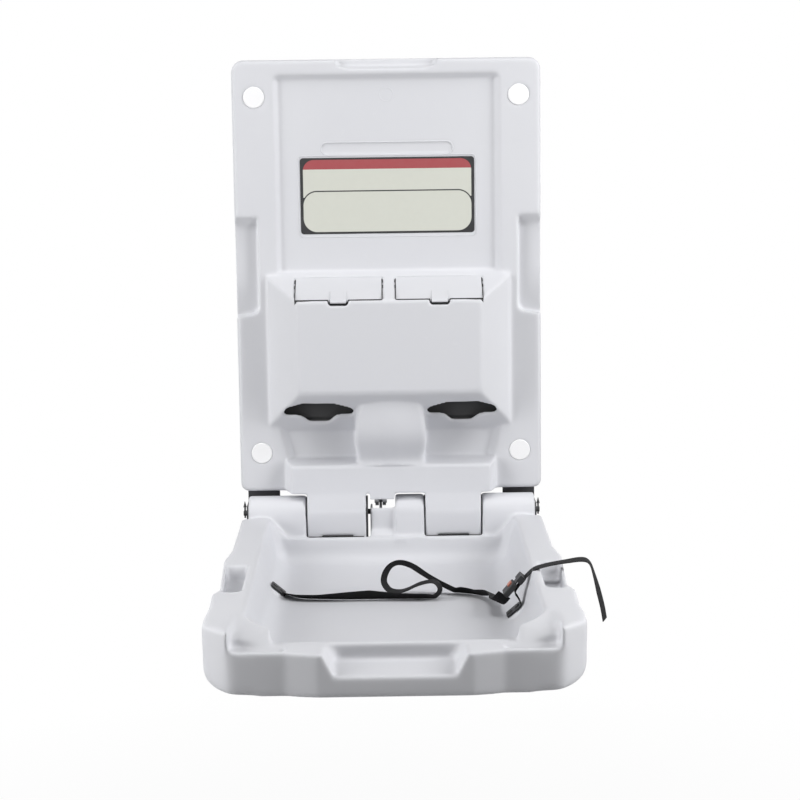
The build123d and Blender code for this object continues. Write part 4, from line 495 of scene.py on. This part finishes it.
# The plate in the casing's shallow recess is a printed polyester sheet with a dark rounded border.
# Its fields are blank: a dull red band over a pale field, and a second pale field with round corners.
PLATE_HALF, PLATE_FOOT, PLATE_TOP, PLATE_CORNER = 0.1605, 0.0785, 0.2185, 0.006
PLATE_BACK, PLATE_FRONT, PLATE_EDGE_SHARE = 0.0353, 0.0358, 0.4
BLACK_INK, PALE_INK, RED_INK = (0.014, 0.014, 0.016), (0.60, 0.61, 0.55), (0.34, 0.062, 0.07)
FILM_GREY = (0.32, 0.32, 0.31)
UPPER_FIELD = {"half_width": 0.1550, "foot": 0.110, "top": 0.2150, "corner": 0.020}
FIELD_LINE = {"half_width": 0.1570, "foot": 0.0800, "top": 0.1585, "corner": 0.027}
LOWER_FIELD = {"half_width": 0.1550, "foot": 0.0825, "top": 0.1562, "corner": 0.025}
UPPER_FIELD_FOOT, RED_BAND_FOOT, INK_EDGE = 0.146, 0.1975, 0.0006


def rounded_plate(name):
    """The flat sheet with round corners and a fine slanted edge, facing away from the wall."""
    sheet = bmesh.new()
    rim = [
        (x + PLATE_CORNER * out_x, z + PLATE_CORNER * out_z)
        for x, z, out_x, out_z in rounded_corners(PLATE_HALF, PLATE_FOOT, PLATE_TOP, PLATE_CORNER)
    ]
    edge = (PLATE_FRONT - PLATE_BACK) * PLATE_EDGE_SHARE
    middle = (PLATE_FOOT + PLATE_TOP) / 2
    rings = []
    for reach, inset in ((PLATE_BACK, 0.0), (PLATE_FRONT - edge, 0.0), (PLATE_FRONT, edge)):
        narrower, lower = 1 - inset / PLATE_HALF, 1 - inset / (PLATE_TOP - middle)
        rings.append([
            sheet.verts.new((x * narrower, -reach, middle + (z - middle) * lower)) for x, z in rim
        ])
    loft(sheet, rings)
    return add_piece(name, sheet)


def rounded_field(across, height, half_width, foot, top, corner):
    """A mask that is 1 inside an upright rectangle with round corners."""
    side = (across.math("ABSOLUTE") - (half_width - corner)).math("MAXIMUM", 0.0)
    from_middle = (height - (foot + top) / 2).math("ABSOLUTE")
    end = (from_middle - ((top - foot) / 2 - corner)).math("MAXIMUM", 0.0)
    outside = (side * side + end * end).math("SQRT") - corner
    return (0.5 - outside / INK_EDGE).math("ADD", 0.0, clamp=True)


plate = rounded_plate("sign_plate")
printed_sheet, start, place = new_material("printed_sheet")
across, height = place.axis(0), place.axis(2)
over_foot = (height - UPPER_FIELD_FOOT).math("GREATER_THAN", 0.0)
upper = rounded_field(across, height, **UPPER_FIELD) * over_foot
red_band = (height - RED_BAND_FOOT).math("GREATER_THAN", 0.0)
line = rounded_field(across, height, **FIELD_LINE)
lower = rounded_field(across, height, **LOWER_FIELD)
ink = start.blend(upper, rgba(BLACK_INK), start.blend(red_band, rgba(PALE_INK), rgba(RED_INK)))
ink = start.blend(lower, start.blend(line, ink, rgba(BLACK_INK)), rgba(PALE_INK))
film = start.noise(place, scale=90.0, detail=4.0, roughness=0.6)
finish_material(start, {
    "Base Color": start.blend(film * 0.10, ink, rgba(FILM_GREY)),
    "Roughness": 0.32 + film * 0.1,
    "Normal": start.noise(place, scale=600.0).bump(strength=0.15, distance=0.00005),
})
plate.data.materials.append(printed_sheet)
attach(plate, "wall")


# Black plates, bored for the rod, fill the gaps beside the casing's two hinge knuckles as painted shade in
# these seams.
# A rubber strip along the foot of each knuckle is what the open bed leans on, and its dark width is painted
# shade along the knuckle's foot.
HINGE_REACH, HINGE_HEIGHT = 0.052, -0.443
SPACER_RADIUS, SPACER_BORE, SPACER_STEPS, SPACER_START, SPACER_SWEEP = 0.0300, 0.0056, 24, -8, 196
SPACER_HEEL = [(0.0278, -0.4700), (0.0320, -0.4950), (0.0560, -0.4965), (0.0808, -0.4945), (0.0812, -0.4640)]
THIN_HALF, THICK_HALF = 0.00105, 0.0034
SHADE_SPACERS = ((-0.1588, THIN_HALF), (-0.0480, THICK_HALF), (0.0618, THIN_HALF), (0.1682, THIN_HALF))
STRIP_SECTION = [
    (0.0842, -0.4935), (0.0866, -0.4946), (0.0884, -0.4938), (0.0886, -0.4915), (0.0878, -0.4905),
    (0.0886, -0.4895), (0.0886, -0.4850), (0.0880, -0.4835), (0.0860, -0.4826), (0.0842, -0.4830)
]
STRIP_SPANS = ((-0.1572, -0.0522), (0.0633, 0.1667))


def around_rod(radius, angle):
    """The reach and height of a point at a distance and an angle from the hinge rod."""
    return HINGE_REACH + radius * math.cos(angle), HINGE_HEIGHT + radius * math.sin(angle)


def knuckle_shade_spacers():
    """Four dark plates with the knuckle's outline and a bore for the rod, as painted shade in the knuckle
    gaps.
    """
    degrees = [SPACER_START + step * SPACER_SWEEP / SPACER_STEPS for step in range(SPACER_STEPS + 1)]
    outline = [around_rod(SPACER_RADIUS, math.radians(turn)) for turn in degrees] + SPACER_HEEL
    angles = [math.atan2(height - HINGE_HEIGHT, reach - HINGE_REACH) for reach, height in outline]
    bore = [around_rod(SPACER_BORE, angle) for angle in angles]
    sheet = bmesh.new()
    for centre, half in SHADE_SPACERS:
        sides = []
        for x in (centre - half, centre + half):
            sides.append([
                [sheet.verts.new((x, -reach, height)) for reach, height in ring] for ring in (outline, bore)
            ])
        for outer, inner in sides:
            bridge(sheet, outer, inner)
        for low, high in zip(*sides):
            bridge(sheet, low, high)
    return add_piece("knuckle_shade_spacers", sheet)


def stop_and_shade_strips():
    """Two ribbed dark strips with rounded long edges, as wide as the knuckles, as painted shade along their
    feet.
    """
    sheet = bmesh.new()
    for x_from, x_to in STRIP_SPANS:
        along_x(sheet, STRIP_SECTION, x_from, x_to)
    return add_piece("stop_and_shade_strips", sheet)


def dull_finish(name, colour, worn, roughness, grain_scale, patch_scale, patch_detail):
    """A dull skin with a fine grain, in two tones that drift over the piece."""
    material, start, place = new_material(name)
    grain = start.noise(place, scale=grain_scale, detail=3.0)
    patches = start.noise(place, scale=patch_scale, detail=patch_detail)
    finish_material(start, {
        "Base Color": start.blend(patches, rgba(colour), worn),
        "Roughness": roughness + grain * 0.1,
        "Normal": grain.bump(strength=0.25, distance=0.00008),
    })
    return material


def small_plastic(name, colour, roughness):
    """The skin of a small injection-moulded piece."""
    worn = rgba(colour, gain=1.25, lift=0.004)
    return dull_finish(
        name, colour, worn, roughness, grain_scale=1500.0, patch_scale=120.0, patch_detail=3.0
    )


# Black nylon for the real bushes and gland, and for the plates of painted shade in the knuckle gaps.
black_nylon_and_shade = small_plastic("black_nylon_and_shade", (0.022, 0.022, 0.024), 0.42)
# Black rubber for the real stop pads, and for the strips' painted shade.
stop_rubber_and_shade = small_plastic("stop_rubber_and_shade", (0.02, 0.02, 0.021), 0.75)
white_nylon = small_plastic("white_nylon", (0.72, 0.72, 0.69), 0.4)
# Painted shade: near-black plates in the gaps beside the knuckles.
shade_spacers = knuckle_shade_spacers()
shade_spacers.data.materials.append(black_nylon_and_shade)
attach(shade_spacers, "wall")
# Painted shade: the strips' dark width along each knuckle's foot.
strips = stop_and_shade_strips()
strips.data.materials.append(stop_rubber_and_shade)
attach(strips, "wall")
repaint(white_nylon, "knuckle_bushes")
repaint(black_nylon_and_shade, "ear_bushes", "strut_gland")
repaint(stop_rubber_and_shade, "stop_pads")


# Steel pieces: zinc-plated crank, pins and washers, a rod and screws in black oxide, rails and a
# strut tube in black paint, and a chromed strut rod. They are turned, drawn or stamped, and mostly
# hidden behind the casing.
def turned_metal(name, colour, roughness, scratch_scale):
    """Bare metal with fine marks along its length and a few dull stains."""
    material, start, place = new_material(name)
    along = start.node("Mapping", {}, {"Vector": place, "Scale": (0.12, 1.0, 1.0)})
    marks = start.noise(along, scale=scratch_scale, detail=4.0, roughness=0.7)
    stains = start.noise(place, scale=60.0, detail=3.0)
    finish_material(start, {
        "Base Color": start.blend(stains, rgba(colour), rgba(colour, gain=0.82)),
        "Metallic": 1.0,
        "Roughness": roughness + marks * 0.14,
        "Normal": marks.bump(strength=0.2, distance=0.00005),
    })
    return material


def painted_metal(name, colour, roughness):
    """A thin dark coat on metal, with a fine orange peel."""
    worn = rgba(colour, gain=1.6, lift=0.02)
    return dull_finish(
        name, colour, worn, roughness, grain_scale=700.0, patch_scale=30.0, patch_detail=4.0
    )


zinc = turned_metal("zinc_steel", (0.58, 0.59, 0.61), 0.3, 900.0)
repaint(zinc, "load_washers", "lid_pins", "strut_upper_pin", "strut_clevis", "strut_piston")
repaint(zinc, "hinge_crank", "crank_screws", "crank_pin")
black_oxide = painted_metal("black_oxide", (0.012, 0.012, 0.013), 0.5)
repaint(black_oxide, "hinge_rod", "rod_cotters", "anchor_screws")
chromed = turned_metal("chromed_rod", (0.80, 0.81, 0.83), 0.1, 500.0)
repaint(chromed, "strut_rod")
black_paint = painted_metal("black_paint", (0.03, 0.03, 0.033), 0.4)
repaint(black_paint, "left_mounting_rail", "right_mounting_rail", "strut_barrel")


# The bed is one hollow moulding of the casing's plastic. Its mould has wide draft and soft corners, and
# the skin follows the solid at a few millimetres' detail, rounder along the front.
RIM, BASIN_FOOT, BASIN_REAR, TAPER, REAR_CORNER, BASIN_HALF = -0.445, -0.528, 0.0945, 0.2309, 0.034, 0.229
CORNER_LIMIT_SHARE = 0.97
BED_VOXEL, BED_ROUNDS, FRONT_ROUNDS, CORNER_ROUNDS, BED_KEPT_SHARE = 0.003, 5, 14, 90, 0.5
# Where the hinge web meets the basin's rear wall, by depth under the rim, reach and from the middle.
WEB_DEPTHS, WEB_REACHES, WEB_INNER = (0.033, 0.055), (0.099, 0.112), 0.03
# The front corners stand a little wider, and the foot of the front a little lower.
WIDER, WIDER_REACHES, WIDER_ACROSS = 0.0050, (0.70, 0.80), (0.20, 0.27)
LOWER, LOWER_REACHES, LOWER_DEPTHS = 0.004, (0.74, 0.86), (0.055, 0.085)
# Each front corner of the rim falls along one even ramp, up to the raised edge at the side.
RAMP_REAR, RAMP_FRONT, RAMP_RUN, RAMP_FALL = 0.765, 0.841, 0.073, 0.0195
RAMP_INNER, RAMP_OUTER, RAMP_DEPTH = 0.150, (-0.2450, -0.2415), 0.03
FRONT_REACHES = (0.62, 0.76)
CORNER_ACROSS, CORNER_REACHES, CORNER_DEPTHS = (0.195, 0.225), (0.79, 0.83), (0.030, 0.050)


def between(value, limits):
    """A mask of what lies between two limits."""
    return (value > limits[0]) & (value < limits[1])


def bed_skin():
    """The bed's solid with its rear wall clear of the web, softer front corners and a lower front."""
    skin = add_object("bed_skin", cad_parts["bed_shell"].data.copy())
    mesh, points = remeshed(skin, BED_VOXEL)
    x, reach, height = points[:, 0], -points[:, 1], points[:, 2]
    depth = RIM - height
    flat_half = BASIN_HALF - depth * TAPER - REAR_CORNER
    into = numpy.clip(numpy.abs(x) - flat_half, 0.0, REAR_CORNER * CORNER_LIMIT_SHARE)
    wall = BASIN_REAR + depth * TAPER + REAR_CORNER - numpy.sqrt(REAR_CORNER ** 2 - into ** 2)
    web = between(depth, WEB_DEPTHS) & between(reach, WEB_REACHES) & (numpy.abs(x) > WEB_INNER)
    reach = numpy.where(web, numpy.minimum(reach, wall), reach)
    wider = WIDER * ramp(reach, *WIDER_REACHES) * ramp(numpy.abs(x), *WIDER_ACROSS)
    x = x + numpy.sign(x) * wider
    slope = RIM - RAMP_FALL * (reach - RAMP_REAR) / RAMP_RUN
    corner = (numpy.abs(x) > RAMP_INNER) & between(reach, (RAMP_REAR, RAMP_FRONT))
    corner = corner & (height > slope) & (height > RIM - RAMP_DEPTH)
    drop = (height - slope) * ramp(-numpy.abs(x), *RAMP_OUTER)
    height = numpy.where(corner, height - drop, height)
    height = height - LOWER * ramp(reach, *LOWER_REACHES) * ramp(depth, *LOWER_DEPTHS)
    mesh.vertices.foreach_set("co", numpy.stack((x, -reach, height), axis=1).ravel())
    soft = ramp(numpy.abs(x), *CORNER_ACROSS) * ramp(reach, *CORNER_REACHES) * ramp(depth, *CORNER_DEPTHS)
    areas = [("front", ramp(reach, *FRONT_REACHES), FRONT_ROUNDS), ("corners", soft, CORNER_ROUNDS)]
    soften(skin, BED_ROUNDS, areas, BED_KEPT_SHARE, shell_plastic)
    return skin


bed = bed_skin()
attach(bed, "bed")
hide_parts("bed_shell")


# The restraint straps are flat black polypropylene webbing, woven with a fine twill and a firm edge on
# each side. The left one lies loose in the basin and loops over itself before it enters the buckle, and
# the right one's free tail hangs over the rim. Their routes are in millimetres.
WEBBING_HALF, WEBBING_THICK = 0.0125, 0.0016
MIDDLE_SHARE, EDGE_SHARE, EDGE_FROM_SHARE, LIFT_SHARE = 0.5, 0.24, 0.9, 0.65
SPAN_STEPS, WIDTH_STEPS = 24, 12
LOOP = [
    (-199.0, 350.0, 14.0), (-188.0, 353.0, 5.0), (-161.0, 378.0, 2.2), (-95.5, 388.0, 2.0),
    (-43.7, 388.0, 5.0), (16.5, 390.0, 3.4), (56.1, 391.0, 2.0), (75.2, 390.0, 9.9), (80.5, 388.0, 20.9),
    (70.4, 384.0, 31.5), (47.1, 380.0, 27.3), (23.4, 376.0, 16.0), (7.5, 372.0, 11.6), (-7.4, 368.0, 14.4),
    (-15.8, 364.0, 26.9), (-13.0, 360.0, 41.8), (-3.3, 358.0, 54.6), (12.4, 356.0, 59.2),
    (33.2, 354.0, 52.1), (57.4, 352.0, 35.2), (86.8, 352.0, 17.8), (117.3, 356.0, 4.9), (146.0, 374.0, 8.0),
    (166.0, 404.0, 15.0), (172.0, 450.0, 20.0), (171.0, 488.0, 23.0), (175.0, 507.0, 28.5),
    (184.0, 512.0, 39.5)
]
LOOP_TILTS, LOOP_STATIONS = [0, 8, 12, 24, 32, 18, 14, 12, 16, 14, 12, 8, 4, 4, 4, 2, 0, 0, 0], 260
TAIL = [
    (188.7, -527.0), (202.0, -514.0), (211.0, -504.0), (206.5, -493.0), (201.5, -484.0), (206.8, -473.0),
    (222.0, -455.0), (233.0, -445.6), (247.0, -440.5), (268.0, -436.0), (290.0, -432.6), (308.0, -430.2),
    (320.0, -431.5), (327.0, -438.5), (332.0, -453.0), (340.0, -482.5), (347.0, -511.0), (351.0, -533.5)
]
TAIL_REACH, TAIL_TILTS, TAIL_STATIONS = 512.0, [0, 0, 0, 0, -6, -20, -21], 200


def smooth_line(points):
    """Points along a smooth curve through the given ones, and the length up to each."""
    ends = [points[0] * 2 - points[1], *points, points[-1] * 2 - points[-2]]
    line = []
    for before, first, second, after in zip(ends, ends[1:], ends[2:], ends[3:]):
        for step in range(SPAN_STEPS):
            t = step / SPAN_STEPS
            line.append(0.5 * (
                2 * first + (second - before) * t + (2 * before - 5 * first + 4 * second - after) * t * t
                + (3 * first - before - 3 * second + after) * t ** 3
            ))
    line.append(points[-1])
    lengths = [0.0]
    for low, high in zip(line, line[1:]):
        lengths.append(lengths[-1] + (high - low).length)
    return line, lengths


def webbing_section():
    """The webbing's outline as (across, out) points, thinner at its two edges."""
    upper = []
    for step in range(WIDTH_STEPS + 1):
        share = -1 + step / (WIDTH_STEPS / 2)
        crown = MIDDLE_SHARE if abs(share) < EDGE_FROM_SHARE else EDGE_SHARE
        upper.append((share * WEBBING_HALF, crown * WEBBING_THICK))
    return upper + [(across, -out) for across, out in reversed(upper)]


def webbing(name, points, tilts, stations, side, floor=None):
    """A webbing band along points. Its width starts along side and is carried on, turned by tilts."""
    line, lengths = smooth_line(points)
    turns = [math.radians(value) for value in tilts]
    sheet = bmesh.new()
    weave = sheet.verts.layers.float_vector.new("weave")
    spans = len(turns) - 1
    section = webbing_section()
    rings = []
    cursor = 0
    for station in range(stations + 1):
        share = station / stations
        goal = lengths[-1] * share
        while cursor < len(lengths) - 2 and lengths[cursor + 1] < goal:
            cursor += 1
        step_length = lengths[cursor + 1] - lengths[cursor]
        part = (goal - lengths[cursor]) / step_length if step_length else 0.0
        spot = line[cursor].lerp(line[cursor + 1], part)
        along = (line[min(cursor + 3, len(line) - 1)] - line[max(cursor - 2, 0)]).normalized()
        low = min(int(share * spans), spans - 1)
        tilt = turns[low] + (turns[low + 1] - turns[low]) * (share * spans - low)
        side = (side - along * side.dot(along)).normalized()
        across = side * math.cos(tilt) + side.cross(along).normalized() * math.sin(tilt)
        out = across.cross(along).normalized()
        if floor is not None:
            rest = floor + WEBBING_THICK * LIFT_SHARE + WEBBING_HALF * abs(across.z)
            spot = Vector((spot.x, spot.y, max(spot.z, rest)))
        ring = []
        for u, v in section:
            vert = sheet.verts.new(spot + across * u + out * v)
            vert[weave] = (goal, u, v)
            ring.append(vert)
        rings.append(ring)
    loft(sheet, rings)
    return add_piece(name, sheet, smooth=True)


PER_METRE = 1000
floor_height = BASIN_FOOT * PER_METRE
loop_line = [Vector((x, -reach, rise + floor_height)) / PER_METRE for x, reach, rise in LOOP]
tail_line = [Vector((x, -TAIL_REACH, height)) / PER_METRE for x, height in TAIL]
left_strap = webbing(
    "left_webbing", loop_line, LOOP_TILTS, LOOP_STATIONS, side=Vector((0, -1, 0)), floor=BASIN_FOOT
)
right_strap = webbing("right_webbing", tail_line, TAIL_TILTS, TAIL_STATIONS, side=Vector((0, 1, 0)))

TWILL_PITCH, TWILL_SLANT, CORD_PITCH, FIRM_EDGE = 0.0019, 1.6, 0.0016, 0.0108
black_webbing, start, place = new_material("black_webbing")
weave = start.node("Attribute", {"attribute_name": "weave"}, {}, output="Vector")
run, width = weave.axis(0), weave.axis(1)
twill = ((run + width * TWILL_SLANT) * (math.tau / TWILL_PITCH)).math("SINE") * 0.5 + 0.5
cords = (width * (math.tau / CORD_PITCH)).math("SINE") * 0.5 + 0.5
edge = (width.math("ABSOLUTE") - FIRM_EDGE).math("GREATER_THAN", 0.0)
fuzz = start.noise(place, scale=900.0, detail=4.0, roughness=0.7)
relief = twill * 0.6 + cords * 0.4 + edge * 0.5 + fuzz * 0.35
dark = start.blend(twill * cords, rgba((0.004, 0.004, 0.0045)), rgba((0.012, 0.012, 0.013)))
finish_material(start, {
    "Base Color": start.blend(fuzz * 0.25, dark, rgba((0.022, 0.022, 0.024))),
    "Roughness": 0.72 + fuzz * 0.12,
    "Normal": relief.bump(strength=0.55, distance=0.00018),
    "Specular IOR Level": 0.22,
})
for strap, node in ((left_strap, "strap_left"), (right_strap, "strap_right")):
    strap.data.materials.append(black_webbing)
    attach(strap, "bed")
    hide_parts(node)
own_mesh(left_strap)


# The push-button buckle and the screwed anchor plates are injection moulded in black nylon. The
# button is a dull orange red, moulded in its own colour.
buckle_black = small_plastic("buckle_black", (0.008, 0.008, 0.009), 0.45)
repaint(buckle_black, "strap_anchors", "buckle_body", "buckle_tongue")
button_red = small_plastic("button_red", (0.42, 0.13, 0.08), 0.38)
repaint(button_red, "buckle_button")


# The camera stands 3.7 m in front of the wall, a little above the casing's middle, with a 90 mm lens.
CAMERA_PLACE, FAR_CLIP = (-0.0097, -3.73959, 0.35349), 50.0
YAW, PITCH, ROLL = math.radians(0.4354), math.radians(9.0148), math.radians(-0.7361)
camera_data = bpy.data.cameras.new("camera")
camera_data.lens, camera_data.sensor_width, camera_data.clip_end = 90.0, 36.0, FAR_CLIP
camera = add_object("camera", camera_data)
forward = Vector((math.sin(YAW) * math.cos(PITCH), math.cos(YAW) * math.cos(PITCH), -math.sin(PITCH)))
level = Vector((math.cos(YAW), -math.sin(YAW), 0.0))
upright = level.cross(forward)
right = level * math.cos(ROLL) + upright * math.sin(ROLL)
up = upright * math.cos(ROLL) - level * math.sin(ROLL)
turn = Matrix((right, up, -forward)).transposed()
camera.matrix_world = Matrix.Translation(CAMERA_PLACE) @ turn.to_4x4()
bpy.context.scene.camera = camera


# Soft studio light: a large disk lamp on each side near the wall, the right one stronger, one above, and
# a low one on each side. The backdrop is white, and the floor pale and far below, as the table hangs.
HIGH_AIM, TOP_AIM, LOW_AIM = (0.0, -0.3, -0.1), (0.0, -0.35, -0.2), (0.0, -0.4, -0.3)
SIDE_SIZE, TOP_SIZE = 1.2, 1.4
WORLD_LIGHT, WHITE = 0.02, (1.0, 1.0, 1.0)
FLOOR_HALF, FLOOR_HEIGHT, FLOOR_GREY = 12.0, -1.35, (0.5, 0.5, 0.5)
SHADOW_FROM, SHADOW_FADE, SHADOW_KEPT = 0.6, 1.2, 0.06


def soft_lamp(name, place, aim, size, watts):
    """A disk lamp that faces a point."""
    data = bpy.data.lights.new(name, "AREA")
    data.shape, data.size, data.energy = "DISK", size, watts
    lamp = add_object(name, data)
    lamp.location = place
    lamp.rotation_euler = (Vector(aim) - Vector(place)).to_track_quat("-Z", "Y").to_euler()


soft_lamp("left_lamp", (-1.9, -1.0, 0.8), HIGH_AIM, SIDE_SIZE, watts=23.3)
soft_lamp("right_lamp", (1.9, -1.0, 0.8), HIGH_AIM, SIDE_SIZE, watts=36.4)
soft_lamp("top_lamp", (0.0, -0.9, 2.2), TOP_AIM, TOP_SIZE, watts=25.0)
soft_lamp("low_left_lamp", (-2.0, -1.4, -0.2), LOW_AIM, SIDE_SIZE, watts=24.7)
soft_lamp("low_right_lamp", (2.0, -1.4, -0.2), LOW_AIM, SIDE_SIZE, watts=17.6)

world = bpy.data.worlds.new("pale_sky")
world.use_nodes = True
world.node_tree.nodes.clear()
sky = Wire(world.node_tree)
seen = sky.node("LightPath", output="Is Camera Ray")
glossy = sky.node("LightPath", output="Is Glossy Ray")
through = sky.node("LightPath", output="Is Transmission Ray")
shown = (seen + glossy).math("ADD", through, clamp=True)
strength = WORLD_LIGHT + shown * (1.0 - WORLD_LIGHT)
backdrop = sky.node("Background", {}, {"Color": rgba(WHITE), "Strength": strength})
sky.node("OutputWorld", {}, {"Surface": backdrop})
bpy.context.scene.world = world

sheet = bmesh.new()
bmesh.ops.create_grid(sheet, x_segments=1, y_segments=1, size=FLOOR_HALF)
floor = add_piece("floor", sheet)
floor.location = (0.0, 0.0, FLOOR_HEIGHT)
# Seen directly the floor is nearly white, and only close under the table does it keep a soft shadow.
pale_floor, start, place = new_material("pale_floor")
seen = start.node("LightPath", output="Is Camera Ray")
away = start.node("VectorMath", {"operation": "LENGTH"}, {0: place}, output="Value")
fade = ((away - SHADOW_FROM) / SHADOW_FADE).math("MULTIPLY", SHADOW_KEPT, clamp=True)
open_floor = fade.math("MINIMUM", SHADOW_KEPT) + (1.0 - SHADOW_KEPT)
matt = start.node("BsdfDiffuse", {}, {"Color": rgba(FLOOR_GREY)})
bright = start.node("Emission", {}, {"Color": rgba(WHITE), "Strength": 1.0})
surface = start.node("MixShader", {}, {0: seen * open_floor, 1: matt, 2: bright})
start.node("OutputMaterial", {}, {"Surface": surface})
floor.data.materials.append(pale_floor)

bpy.context.scene.view_settings.view_transform = "Standard"
